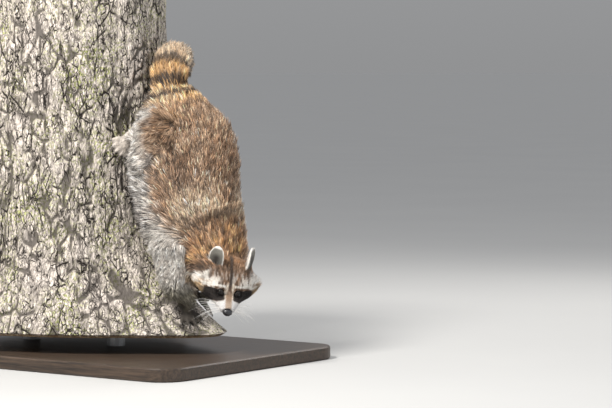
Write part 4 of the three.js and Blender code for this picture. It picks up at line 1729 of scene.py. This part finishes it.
    def rings(self, stations: Array, width: Array) -> Array:
        """Puts a three-cornered ring round each station but the last, which is the tip.

        Args:
            stations: Places of the rings of each tuft.
            width: Width of each tuft.

        Returns:
            The vertices of each tuft.
        """
        rings = []
        for index, share in enumerate(self.widths):
            along = unit(stations[:, index + 1] - stations[:, index])
            across = unit(np.cross(along, self.place.normals))
            above = np.cross(across, along)
            half = (width * share / 2)[:, None]
            centre = stations[:, index]
            rings += [centre - across * half, centre + across * half, centre + above * half * 0.85]
        return np.stack([*rings, stations[:, -1]], axis=1)

    def unwrap(self) -> Array:
        """Place of each root on an unwrap of its part of the skin, each way from 0 to 1."""
        place, name = self.place, self.plan.name
        if name == "coat_face":
            behind, left, above = place.head.T
            around = np.arctan2(left, above + 6.0)
            reach = np.clip(behind / 136.0, 0.02, 1.0)
            return 0.5 + 0.49 * np.stack([reach * np.sin(around), reach * np.cos(around)], axis=1)
        if name in ("coat_forelegs", "coat_hindlegs", "coat_trim"):
            nodes = [node for node in FLESH_NODES if "_right" in node or "_left" in node]
            nodes = [node for node in nodes if ("leg_" in node) == (name != "coat_trim")]
            columns = [FLESH_NODES.index(node) for node in nodes]
            owner = place.shares[:, columns].argmax(axis=1)
            spots = np.zeros((len(owner), 2))
            for index in np.unique(owner):
                mine = owner == index
                local = place.points[mine] - place.points[mine].mean(axis=0)
                run, wide, deep = np.linalg.svd(local, full_matrices=False)[2] @ local.T
                turn = np.arctan2(deep, wide) / (2 * math.pi)
                run = (run - run.min()) / max(np.ptp(run), 1e-6)
                spots[mine] = np.stack([(index + 0.5 + turn) / len(nodes), run], axis=1)
            return spots
        key, turn = place.spine["key"], place.spine["turn"]
        run = (key - key.min()) / max(np.ptp(key), 1e-6)
        return np.stack([0.5 + turn / (2 * math.pi), run], axis=1)

    def mesh(self, points: Array, colours: Array, spots: Array) -> Object:
        """Joins all tufts into one mesh with its colours and unwrap.

        Args:
            points: Vertices of each tuft.
            colours: Colour of each ring of each tuft.
            spots: Place of each tuft on the unwrap.

        Returns:
            The piece's object.
        """
        count, size = points.shape[:2]
        rings = len(self.widths)
        faces, places = [(0, 2, 1)], [((0, 0.0), (1, 0.1), (0, 0.2))]
        for ring in range(rings):
            low, high = self.heights[ring], self.heights[ring + 1]
            for corner in range(3):
                a, b = ring * 3 + corner, ring * 3 + (corner + 1) % 3
                left, right = (corner, low), (corner + 1, low)
                if ring + 1 < rings:
                    faces += [(a, b, b + 3), (a, b + 3, a + 3)]
                    over = (corner + 1, high)
                    places += [(left, right, over), (left, over, (corner, high))]
                else:
                    faces.append((a, b, size - 1))
                    places.append((left, right, (corner + 0.5, high)))
        all_faces = (np.arange(count)[:, None, None] * size + np.array(faces)).reshape(-1, 3)
        thing = mesh_object(self.plan.name, points.reshape(-1, 3), all_faces)
        ring_of = [*np.repeat(np.arange(rings), 3), rings]
        write_colour(thing.data, "tint", colours[:, ring_of].reshape(-1, 3))
        pattern = np.array(places, dtype=float).reshape(-1, 2) * (self.patch / 3, self.patch)
        loops = (spots[:, None, :] + pattern).reshape(-1, 2)
        layer = thing.data.uv_layers.new(name=UV_NAME)
        layer.data.foreach_set("uv", loops.astype(np.float32).ravel())
        return thing


@dataclass
class Coat:
    """All the fur, as tufts of solid mesh that follow the lie of the coat."""

    skin: Skin
    seed: int = 7
    quick_share: float = 0.45
    quick_thicker: float = 1.4

    def build(self, finishes: dict) -> None:
        """Builds every coat piece with its slot's material."""
        mesh = self.skin.thing.data
        triangles = read_triangles(mesh)
        corners = read_points(mesh)[triangles]
        normals = read_points(mesh, "normal")[triangles]
        shares = self.skin.shares[triangles]
        place = Anatomy(corners.mean(axis=1), unit(normals.mean(axis=1)), shares.mean(axis=1))
        edges = corners[:, 1:] - corners[:, :1]
        area = np.linalg.norm(np.cross(edges[:, 0], edges[:, 1]), axis=1) / 2
        zone, weight = self.zones(place), area * self.density(place)
        fewer, thicker = ((1.0, 1.0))
        for number, plan in enumerate(COAT_PLANS):
            rng = np.random.default_rng(self.seed + number)
            own_weight = np.where(zone == number, weight, 0.0)
            chosen, parts = self.scatter(own_weight, int(plan.count * fewer), rng)
            root, normal, share = (
                (values[chosen] * parts).sum(axis=1) for values in (corners, normals, shares)
            )
            Tufts(plan, Anatomy(root, unit(normal), share), rng).build(finishes[plan.slot], thicker)

    @staticmethod
    def zones(place: Anatomy) -> Array:
        """Numbers the coat piece to which each place belongs."""
        region = np.stack([place.share(region) for region in Region]).argmax(axis=0)
        key, turn = place.spine["key"], np.degrees(place.spine["turn"])
        zone = np.full(len(key), PLAN_NUMBER["coat_back"])
        zone[turn < -62.0] = PLAN_NUMBER["coat_flank_right"]
        zone[turn > 62.0] = PLAN_NUMBER["coat_flank_left"]
        zone[key < 12.6] = PLAN_NUMBER["coat_rump"]
        for kind, name in REGION_COATS.items():
            zone[region == kind.value] = PLAN_NUMBER[name]
        return zone

    @staticmethod
    def density(place: Anatomy) -> Array:
        """How thickly tufts stand at each place; none grow in the eyes or under the paws."""
        size = np.abs(np.degrees(place.spine["turn"]))
        behind, left, above = place.head.T
        density = 1.0 - 0.6 * place.share(Region.TORSO, Region.NECK) * ramp(130, 160, size)
        density = density * (1.0 + 1.5 * place.share(Region.HEAD) * ramp(75, 45, behind))
        for side in (RIGHT, LEFT):
            ahead, around = HEAD.around_eye(place.points, side)
            density = density * np.where(np.abs(ahead) < 20.0 * MM, ramp(7.8 * MM, 8.8 * MM, around), 1.0)
        pad = np.hypot(left / 12.0, (above - 1.5) / 9.5)
        density = density * np.where(behind < 9.0, ramp(0.9, 1.1, pad), 1.0)
        angle, reach, height = TRUNK.measure(place.points)
        under = ramp(6, 3.5, reach - TRUNK.bark_radius(angle, height))
        return density * (1.0 - place.share(Region.FOREPAW, Region.HINDFOOT) * under)

    @staticmethod
    def scatter(weight: Array, count: int, rng: np.random.Generator) -> tuple:
        """Spreads places over triangles in proportion to a weight for each.

        Args:
            weight: Weight of each triangle.
            count: How many places.
            rng: Source of random numbers.

        Returns:
            The triangle of each place, and the shares of its three corners.
        """
        total = np.cumsum(weight)
        picks = (np.arange(count) + rng.random(count)) / count * total[-1]
        chosen = np.minimum(np.searchsorted(total, picks), len(weight) - 1)
        first, second = rng.random(count), rng.random(count)
        folded = first + second > 1.0
        first[folded], second[folded] = 1.0 - first[folded], 1.0 - second[folded]
        return chosen, np.stack([1.0 - first - second, first, second], axis=1)[:, :, None]


# ---- Eyes, nose, claws and whiskers ----


def sweep(lines: list, radii: list, sides: int) -> tuple:
    """Makes round tapered tubes along lines.

    Args:
        lines: Points of each tube's middle line.
        radii: Radius at each of those points.
        sides: Corners round a tube.

    Returns:
        Vertices, triangles, and how far along its tube each vertex is.
    """
    points, faces, along = [], [], []
    start = 0
    for line, sizes in zip(lines, radii):
        tangents = unit(np.gradient(line, axis=0))
        guide = np.array([0.3, 0.5, 0.8])
        across = unit(np.cross(tangents, guide))
        above = np.cross(tangents, across)
        turn = np.linspace(0.0, 2 * math.pi, sides, endpoint=False)[None, :, None]
        circle = across[:, None] * np.cos(turn) + above[:, None] * np.sin(turn)
        points.append((line[:, None] + circle * np.asarray(sizes)[:, None, None]).reshape(-1, 3))
        along.append(np.repeat(np.linspace(0.0, 1.0, len(line)), sides))
        for ring in range(len(line) - 1):
            for side in range(sides):
                a = start + ring * sides + side
                b = start + ring * sides + (side + 1) % sides
                faces += [(a, b, b + sides), (a, b + sides, a + sides)]
        last = start + (len(line) - 1) * sides
        for side in range(1, sides - 1):
            faces.append((start, start + side + 1, start + side))
            faces.append((last, last + side, last + side + 1))
        start += len(line) * sides
    return np.vstack(points), np.array(faces), np.concatenate(along)


def bristles(name: str, lines: list, radii: list, sides: int) -> Object:
    """Joins swept tubes into one piece that stores how far `along` each vertex is.

    Args:
        name: Name of the piece.
        lines: Points of each tube's middle line.
        radii: Radius at each of those points.
        sides: Corners round a tube.

    Returns:
        The piece's object.
    """
    points, faces, along = sweep(lines, radii, sides)
    thing = mesh_object(name, points, faces)
    write_number(thing.data, "along", along)
    return thing


@dataclass
class Eyes:
    """The two eyeballs and the leathery lids round them."""

    radius: float = 7.4 * MM
    cornea: float = 0.5 * MM
    white_from: float = 62.0
    opening: tuple = (51.0, 40.0)
    slant: float = 10.0
    lid_profile: tuple = ((0.0, 0.1), (4.0, 0.6), (12.0, 0.8), (24.0, 0.6), (38.0, 0.0), (50.0, -1.6))
    lid_wall: float = 0.6 * MM
    around: int = 44

    def build(self, eye_finish: Material, lid_finish: Material) -> None:
        """Builds both eyes and their lids."""
        for side in (RIGHT, LEFT):
            name = SIDE_NAMES[side]
            ball = self.ball(side)
            keep_piece(ball, eye_finish, (f"eye_{name}",))
            lid = self.lid(side)
            keep_piece(lid, lid_finish)

    def ball(self, side: int) -> Object:
        """Makes one eyeball, with a slight bulge for the cornea."""
        centre, gaze = HEAD.eye_centre(side), HEAD.gaze(side)
        select_none()
        bpy.ops.mesh.primitive_uv_sphere_add(segments=40, ring_count=24, radius=self.radius)
        ball = bpy.context.active_object
        ball.name = f"eyeball_{SIDE_NAMES[side]}"
        ball.rotation_mode = "QUATERNION"
        ball.rotation_quaternion = Vector(WORLD_UP).rotation_difference(Vector(gaze))
        ball.location = Vector(centre)
        bpy.ops.object.transform_apply(location=True, rotation=True, scale=True)
        points = read_points(ball.data)
        outward = unit(points - centre)
        facing = np.degrees(np.arccos(np.clip(outward @ gaze, -1.0, 1.0)))
        write_points(ball.data, points + outward * (self.cornea * hump(facing, 0, 26))[:, None])
        write_number(ball.data, "gaze", facing / self.white_from)
        bpy.ops.object.shade_smooth()
        return ball

    def lid(self, side: int) -> Object:
        """Makes the ring of lids round one eye, higher at its outer corner."""
        centre, gaze, up = HEAD.eye_centre(side), HEAD.gaze(side), HEAD.axes[2]
        up = unit(up - gaze * (up @ gaze))
        turn = np.linspace(0.0, 2 * math.pi, self.around, endpoint=False)
        wide, tall = self.opening
        edge = 1.0 / np.hypot(np.cos(turn) / wide, np.sin(turn) / tall)
        edge = edge * (1.0 + 0.10 * np.abs(np.cos(turn)) ** 6)
        turn = (turn + math.radians(self.slant) * side)[:, None]
        direction = np.cross(up, gaze) * np.cos(turn) + up * np.sin(turn)
        rings = []
        for extra, lift in self.lid_profile:
            angle = np.radians(edge + extra)[:, None]
            reach = self.radius + lift * MM
            rings.append(centre + (gaze * np.cos(angle) + direction * np.sin(angle)) * reach)
        rings = [rings[0] - gaze * 1.5 * MM, *rings]
        faces = []
        for ring in range(len(rings) - 1):
            for step in range(self.around):
                a, b = ring * self.around + step, ring * self.around + (step + 1) % self.around
                faces.append((a, a + self.around, b + self.around, b))
        thing = mesh_object(f"eyelids_{SIDE_NAMES[side]}", np.vstack(rings), np.array(faces))
        make_active(thing)
        wall = thing.modifiers.new("lid_wall", "SOLIDIFY")
        wall.thickness = self.lid_wall
        wall.offset = -1.0
        bpy.ops.object.modifier_apply(modifier=wall.name)
        face_outward(thing)
        return thing


@dataclass
class Nose:
    """The nose pad with its nostrils and the groove below them."""

    half_sizes: tuple = (8.6, 11.0, 8.6)
    behind: float = 5.0
    above: float = 1.5

    def build(self, finish: Material) -> None:
        """Builds the nose pad."""
        select_none()
        bpy.ops.mesh.primitive_uv_sphere_add(segments=64, ring_count=48, radius=1.0)
        pad = bpy.context.active_object
        pad.name = "nose_pad"
        ahead, left, up = read_points(pad.data).T
        square = 1.0 - 0.10 * np.abs(left * up) + 0.05 * np.abs(left)
        ahead = ahead * square
        left = left * (1.0 - 0.18 * ramp(0.1, -1, up))
        nostril = np.exp(-(((np.abs(left) - 0.46) / 0.17) ** 2 + ((up - 0.02) / 0.24) ** 2))
        comma = np.exp(-(((np.abs(left) - 0.72) / 0.2) ** 2 + ((up + 0.22) / 0.12) ** 2))
        groove = hump(left, 0, 0.07) * ramp(0.25, -0.25, up)
        front = ramp(0, 0.4, ahead)
        ahead = ahead - front * (0.42 * nostril + 0.25 * comma + 0.12 * groove)
        parts = np.stack([ahead, left, up], axis=1) * np.array(self.half_sizes) * MM
        write_points(pad.data, HEAD.place(self.behind, 0.0, self.above) + parts @ HEAD.axes)
        face_outward(pad)
        keep_piece(pad, finish, ("nose",))


@dataclass
class Claws:
    """The twenty claws, each a curved tapered horn on the end of its toe."""

    root_radius: float = 0.42
    sides: int = 10
    stations: tuple = (-0.45, -0.1, 0.25, 0.55, 0.8, 0.95, 1.0)
    lifts: tuple = (5.6, 6.4, 6.2, 5.0, 3.2, 1.6, 1.0)
    thickness: tuple = (0.9, 1.0, 0.85, 0.62, 0.38, 0.18, 0.06)

    def build(self, finish: Material) -> None:
        """Builds one piece of five claws for each paw."""
        for name, paw in PAWS.items():
            lines, radii = [], []
            for toe in range(-2, 3):
                tip = paw.reach(toe) + paw.form.toe_start
                places = [
                    paw.on_bark(toe, tip + share * paw.form.claw, lift)
                    for share, lift in zip(self.stations, self.lifts)
                ]
                lines.append(from_trunk(np.array(places)))
                root = paw.form.toe_radius * self.root_radius * MM
                radii.append([root * share for share in self.thickness])
            thing = bristles(f"claws_{name}", lines, radii, self.sides)
            keep_piece(thing, finish)


@dataclass
class Whiskers:
    """Stiff white bristles on both sides of the muzzle."""

    rows: int = 4
    columns: int = 4
    length: tuple = (48.0, 76.0)
    radius: float = 0.42
    thickness: tuple = (1.0, 0.95, 0.85, 0.7, 0.5, 0.28, 0.08)
    sides: int = 5
    seed: int = 3

    def build(self, finish: Material) -> None:
        """Builds all the whiskers as one piece."""
        rng = np.random.default_rng(self.seed)
        lines, radii = [], []
        for side in (RIGHT, LEFT):
            for row in range(self.rows):
                for column in range(self.columns):
                    lines.append(self.whisker(side, row, column, rng))
                    radii.append(self.radius * MM * np.array(self.thickness))
        thing = bristles("whiskers", lines, radii, self.sides)
        keep_piece(thing, finish)

    def whisker(self, side: int, row: int, column: int, rng: np.random.Generator) -> Array:
        """Runs one whisker out of the muzzle.

        Args:
            side: Side of the muzzle.
            row: Row, from the top.
            column: Column, from the front.
            rng: Source of random numbers.

        Returns:
            Points along it.
        """
        behind = 11.0 + 3.6 * column + rng.normal(0.0, 0.6)
        above = 3.0 - 3.2 * row + rng.normal(0.0, 0.5)
        out = 9.0 + 0.42 * behind
        start = HEAD.place(behind, side * (out - 3.0), above)
        sweep_back = 0.15 + 0.22 * column + rng.normal(0.0, 0.08)
        heading = unit(HEAD.direction(0.15 - sweep_back, side, 0.05 - 0.18 * row))
        droop = HEAD.direction(0.45, 0.0, -0.45) - 0.45 * WORLD_UP
        length = rng.uniform(*self.length) * (0.8 + 0.08 * column) * MM
        steps = np.linspace(0.0, 1.0, len(self.thickness))[:, None]
        return start + heading * steps * length + droop * steps**2 * length * 0.42


# ---- Trunk, stand and studio ----


@dataclass
class BarkLog:
    """The cut trunk with plated bark and sawn ends."""

    around: int = 360
    upward: int = 214
    stretch: float = 0.42
    crack_depth: float = 5.0
    relief: float = 1.8
    sawn_edge: float = 12.0

    def build(self, finish: Material) -> None:
        """Builds the trunk."""
        select_none()
        bpy.ops.mesh.primitive_grid_add(x_subdivisions=self.around, y_subdivisions=self.upward, size=2.0)
        log_piece = bpy.context.active_object
        log_piece.name = "bark_log"
        flat = read_points(log_piece.data)
        angle = (flat[:, 0] + 1.0) * math.pi
        share = (flat[:, 1] + 1.0) / 2
        first = TRUNK.foot + 0.6 * self.sawn_edge
        height = first + (TRUNK.height - first) * share
        local = TRUNK.bark_point(angle, height)
        crack, rough = self.pattern(angle, local)
        edge = ramp(0, 0.006, share) * ramp(1, 0.994, share)
        sink = self.crack_depth * crack + self.relief * (1.0 - rough) * 0.5
        sink = sink * (0.3 + 0.7 * edge)
        local = local - np.stack([np.cos(angle) * sink, np.sin(angle) * sink, 0.0 * sink], axis=1)
        write_points(log_piece.data, from_trunk(local))
        write_number(log_piece.data, "crack", crack)
        self.close(log_piece)
        write_number(log_piece.data, "sawn", self.sawn(log_piece))
        bpy.ops.object.shade_smooth_by_angle(angle=math.radians(50.0))
        keep_piece(log_piece, finish, ("perch_log",))

    def pattern(self, angle: Array, local: Array) -> tuple:
        """Cracks between the bark's plates, and the plates' own roughness.

        Args:
            angle: Compass angle of each point.
            local: Place of each point in millimetres of the trunk's frame.

        Returns:
            How far each point is in a crack, from 0 to 1, and a roughness from -1 to 1.
        """
        girth = TRUNK.radius * MM
        places = (np.cos(angle) * girth, np.sin(angle) * girth, local[:, 2] * MM * self.stretch)
        drawn = np.stack(places, axis=1)
        warp = np.stack([cloud(drawn, 0.018, seed) for seed in (61, 62, 63)], axis=1)
        furrow = self.border(drawn + 0.006 * warp, 0.027, 64)
        depth = ramp(0.20, 0.04, furrow) * ramp(-0.35, 0.1, cloud(drawn, 0.03, 66))
        check = self.border(drawn + 0.004 * warp, 0.0125, 65)
        check = 0.55 * ramp(0.26, 0.06, check) * ramp(-0.2, 0.25, cloud(drawn, 0.02, 67))
        rough = 0.6 * cloud(drawn, 0.011, 68) + 0.4 * cloud(drawn, 0.006, 69)
        return np.maximum(depth, check), rough

    def border(self, drawn: Array, spacing: float, seed: int) -> Array:
        """How far each point is from the edge of its plate.

        Args:
            drawn: Places round the trunk with the height drawn in, in metres.
            spacing: Usual width of a plate in metres.
            seed: Seed of the plates' places.

        Returns:
            The distance to the edge, over the spacing.
        """
        rng = np.random.default_rng(seed)
        girth, tall = TRUNK.radius * MM, (TRUNK.height + 60.0) * MM * self.stretch
        count = int(2 * math.pi * girth * tall / spacing**2)
        turn, rise = rng.uniform(0.0, 2 * math.pi, count), rng.uniform(-0.02, tall, count)
        tree = KDTree(count)
        for index in range(count):
            spot = (girth * math.cos(turn[index]), girth * math.sin(turn[index]), rise[index])
            tree.insert(spot, index)
        tree.balance()
        near = np.array([[hit[2] for hit in tree.find_n(point, 2)] for point in drawn])
        return (near[:, 1] - near[:, 0]) / spacing

    def close(self, piece: Object) -> None:
        """Joins the bark's seam and closes both ends with sawn faces."""
        levels = (TRUNK.height, TRUNK.foot + 0.6 * self.sawn_edge)
        drop = (0.0, 0.0, -0.6 * self.sawn_edge * MM)
        shrink = 1.0 - 0.5 * self.sawn_edge / TRUNK.radius
        inward = (shrink, shrink, 1.0)
        with editing(piece):
            bpy.ops.mesh.remove_doubles(threshold=0.05 * MM)
            for level in levels:
                bpy.ops.mesh.select_all(action="DESELECT")
                plane = from_trunk((0.0, 0.0, level))[2]
                shape = bmesh.from_edit_mesh(piece.data)
                for edge in shape.edges:
                    edge.select = bool(edge.is_boundary and abs(edge.verts[0].co.z - plane) < 1.0 * MM)
                bmesh.update_edit_mesh(piece.data)
                bpy.ops.mesh.select_mode(type="EDGE")
                bpy.ops.mesh.edge_face_add()
                if level < TRUNK.height:
                    bpy.ops.mesh.extrude_region_move(TRANSFORM_OT_translate={"value": drop})
                    bpy.ops.transform.resize(value=inward, center_override=tuple(TRUNK_ORIGIN))
                bpy.ops.mesh.inset(thickness=6.0 * MM, depth=0.0)
                bpy.ops.mesh.poke()
            bpy.ops.mesh.select_all(action="SELECT")
            bpy.ops.mesh.normals_make_consistent(inside=False)

    @staticmethod
    def sawn(piece: Object) -> Array:
        """Tells which vertices lie on sawn wood."""
        angle, reach, height = TRUNK.measure(read_points(piece.data))
        inner = ramp(4, 8, TRUNK.bark_radius(angle, height) - reach)
        return np.maximum(height > TRUNK.height - 0.5, height < TRUNK.foot + 0.5) * inner


@dataclass
class Stand:
    """The base board and the rods that hold the trunk."""

    rods: tuple = ("stand_rod_back", "stand_rod_front")
    board: str = "stand_base"

    def dress(self, board_finish: Material, rod_finish: Material) -> None:
        """Gives the CAD's own board and rods their finishes."""
        for name in (self.board, *self.rods):
            finish = board_finish if name == self.board else rod_finish
            node = frame["nodes"][name]
            for index in range(max(1, len(node.material_slots))):
                if not node.material_slots:
                    node.data.materials.append(finish)
                node.material_slots[index].material = finish
            log.info("%s keeps its solid and takes %s", name, finish.name)


@dataclass
class Studio:
    """Pale floor, soft lights and the camera."""

    azimuth: float = 36.0
    elevation: float = 3.0
    aim_right: float = 0.5445
    aim_up: float = 0.3068
    distance: float = 6.25
    lens: float = 157.0
    target: tuple = (0.15, 0.0, 0.4)
    horizon: tuple = (0.52, 0.525, 0.535)
    zenith: tuple = (0.95, 0.965, 1.0)
    strength: float = 0.55

    def build(self) -> None:
        """Sets up the whole studio."""
        self.floor()
        self.world()
        self.lights()
        self.camera()

    def axes(self) -> tuple:
        """Directions to the camera's right, up and back."""
        turn, rise = math.radians(self.azimuth), math.radians(self.elevation)
        flat = math.cos(rise)
        back = np.array([math.sin(turn) * flat, -math.cos(turn) * flat, math.sin(rise)])
        right = np.array([math.cos(turn), math.sin(turn), 0.0])
        return right, np.cross(back, right), back

    def floor(self) -> None:
        """Lays a pale matt floor under the base."""
        select_none()
        bpy.ops.mesh.primitive_plane_add(size=400.0)
        floor = bpy.context.active_object
        floor.name = "studio_floor"
        dress(floor, FloorFinish().build())

    def world(self) -> None:
        """Fills the studio with even pale light."""
        world = bpy.data.worlds.new("studio")
        world.use_nodes = True
        world.node_tree.nodes.clear()
        sheet = NodeSheet(world.node_tree)
        looking = sheet.node("ShaderNodeTexCoord").outputs["Generated"]
        rise = sheet.node("ShaderNodeSeparateXYZ", {0: looking}).outputs["Z"]
        tone = sheet.mix(sheet.between(rise, 0.0, 0.4), self.horizon, self.zenith)
        background = sheet.node("ShaderNodeBackground", {"Color": tone, "Strength": self.strength})
        sheet.node("ShaderNodeOutputWorld", {"Surface": background.outputs[0]})
        bpy.context.scene.world = world
        bpy.context.scene.view_settings.view_transform = "Standard"

    @staticmethod
    def hang(data: ID, spot: Array, facing: Array) -> Object:
        """Hangs a lamp or a camera.

        Args:
            data: The lamp's or the camera's own data.
            spot: Where it hangs, in metres.
            facing: Direction in which it faces.

        Returns:
            Its object.
        """
        thing = bpy.data.objects.new(data.name, data)
        bpy.context.scene.collection.objects.link(thing)
        thing.location = Vector(spot)
        thing.rotation_mode = "QUATERNION"
        thing.rotation_quaternion = Vector(facing).to_track_quat("-Z", "Y")
        return thing

    def light(self, name: str, place: tuple, size: float, power: float, warmth: tuple) -> None:
        """Hangs one soft square light that points at the animal.

        Args:
            name: Name of the light.
            place: Distances to the camera's right, up and back from the trunk's foot, in metres.
            size: Side of the light in metres.
            power: Power in watts.
            warmth: Colour of the light.
        """
        right, _, back = self.axes()
        data = bpy.data.lights.new(name, "AREA")
        data.size = size
        data.energy = power
        data.color = warmth
        spot = right * place[0] + WORLD_UP * place[1] + back * place[2]
        self.hang(data, spot, np.array(self.target) - spot)

    def lights(self) -> None:
        """Hangs the key, fill and back lights."""
        self.light("key_light", (-1.3, 2.75, 2.1), 0.9, 190.0, (1.0, 0.97, 0.925))
        self.light("fill_light", (2.6, 1.2, 2.0), 2.4, 20.0, (0.93, 0.96, 1.0))
        self.light("back_light", (1.6, 2.2, -1.8), 1.2, 30.0, (1.0, 0.97, 0.93))

    def camera(self) -> None:
        """Places the camera with a long lens."""
        right, up, back = self.axes()
        data = bpy.data.cameras.new("camera")
        data.lens = self.lens
        data.sensor_width = 36.0
        data.clip_end = 200.0
        aim = TRUNK_ORIGIN + right * self.aim_right + up * self.aim_up
        bpy.context.scene.camera = self.hang(data, aim + back * self.distance, -back)


# ---- Assembly ----


def build_finishes() -> dict:
    """Builds every material.

    Returns:
        The materials by the record's slot, and a few by name.
    """
    tone = FurTone().build()
    lid_colours = ((0.008, 0.006, 0.005), (0.010, 0.008, 0.007))
    return {
        "skin": CoatFinish("skin_fur", tone, 0.45, 0.7, 0.1, 0.8).build(),
        "face_coat": CoatFinish("face_fur", tone, 0.25, 0.6, 0.08).build(),
        "body_coat": CoatFinish("body_fur", tone, 0.35, 0.6, 0.1).build(),
        "tail_coat": CoatFinish("tail_fur", tone, 0.3, 0.6, 0.12).build(),
        "leg_coat": CoatFinish("leg_fur", tone, 0.3, 0.62, 0.1).build(),
        "nose": LeatherFinish("nose_leather", (0.006, 0.006, 0.008), (0.016, 0.015, 0.018)).build(),
        "lids": LeatherFinish("lid_leather", *lid_colours, 0.75, 0.0).build(),
        "claw": HornFinish("claw_horn", (0.020, 0.016, 0.013), (0.10, 0.085, 0.07)).build(),
        "whisker": HornFinish("whisker_horn", (0.75, 0.72, 0.68), (0.9, 0.88, 0.85)).build(),
        "eye": EyeFinish().build(),
        "bark": BarkFinish().build(),
        "board": BoardFinish().build(),
        "steel": SteelFinish().build(),
    }


def main() -> None:
    """Builds the raccoon, its trunk and stand, and the studio."""
    logging.basicConfig(level=logging.INFO, format="%(name)s %(message)s")
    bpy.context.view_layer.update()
    finishes = build_finishes()
    Studio().build()
    Stand().dress(finishes["board"], finishes["steel"])
    BarkLog().build(finishes["bark"])
    skin = Skin()
    skin.build(finishes["skin"])
    Coat(skin).build(finishes)
    Eyes().build(finishes["eye"], finishes["lids"])
    Nose().build(finishes["nose"])
    Claws().build(finishes["claw"])
    Whiskers().build(finishes["whisker"])


if __name__ == "__main__":
    main()
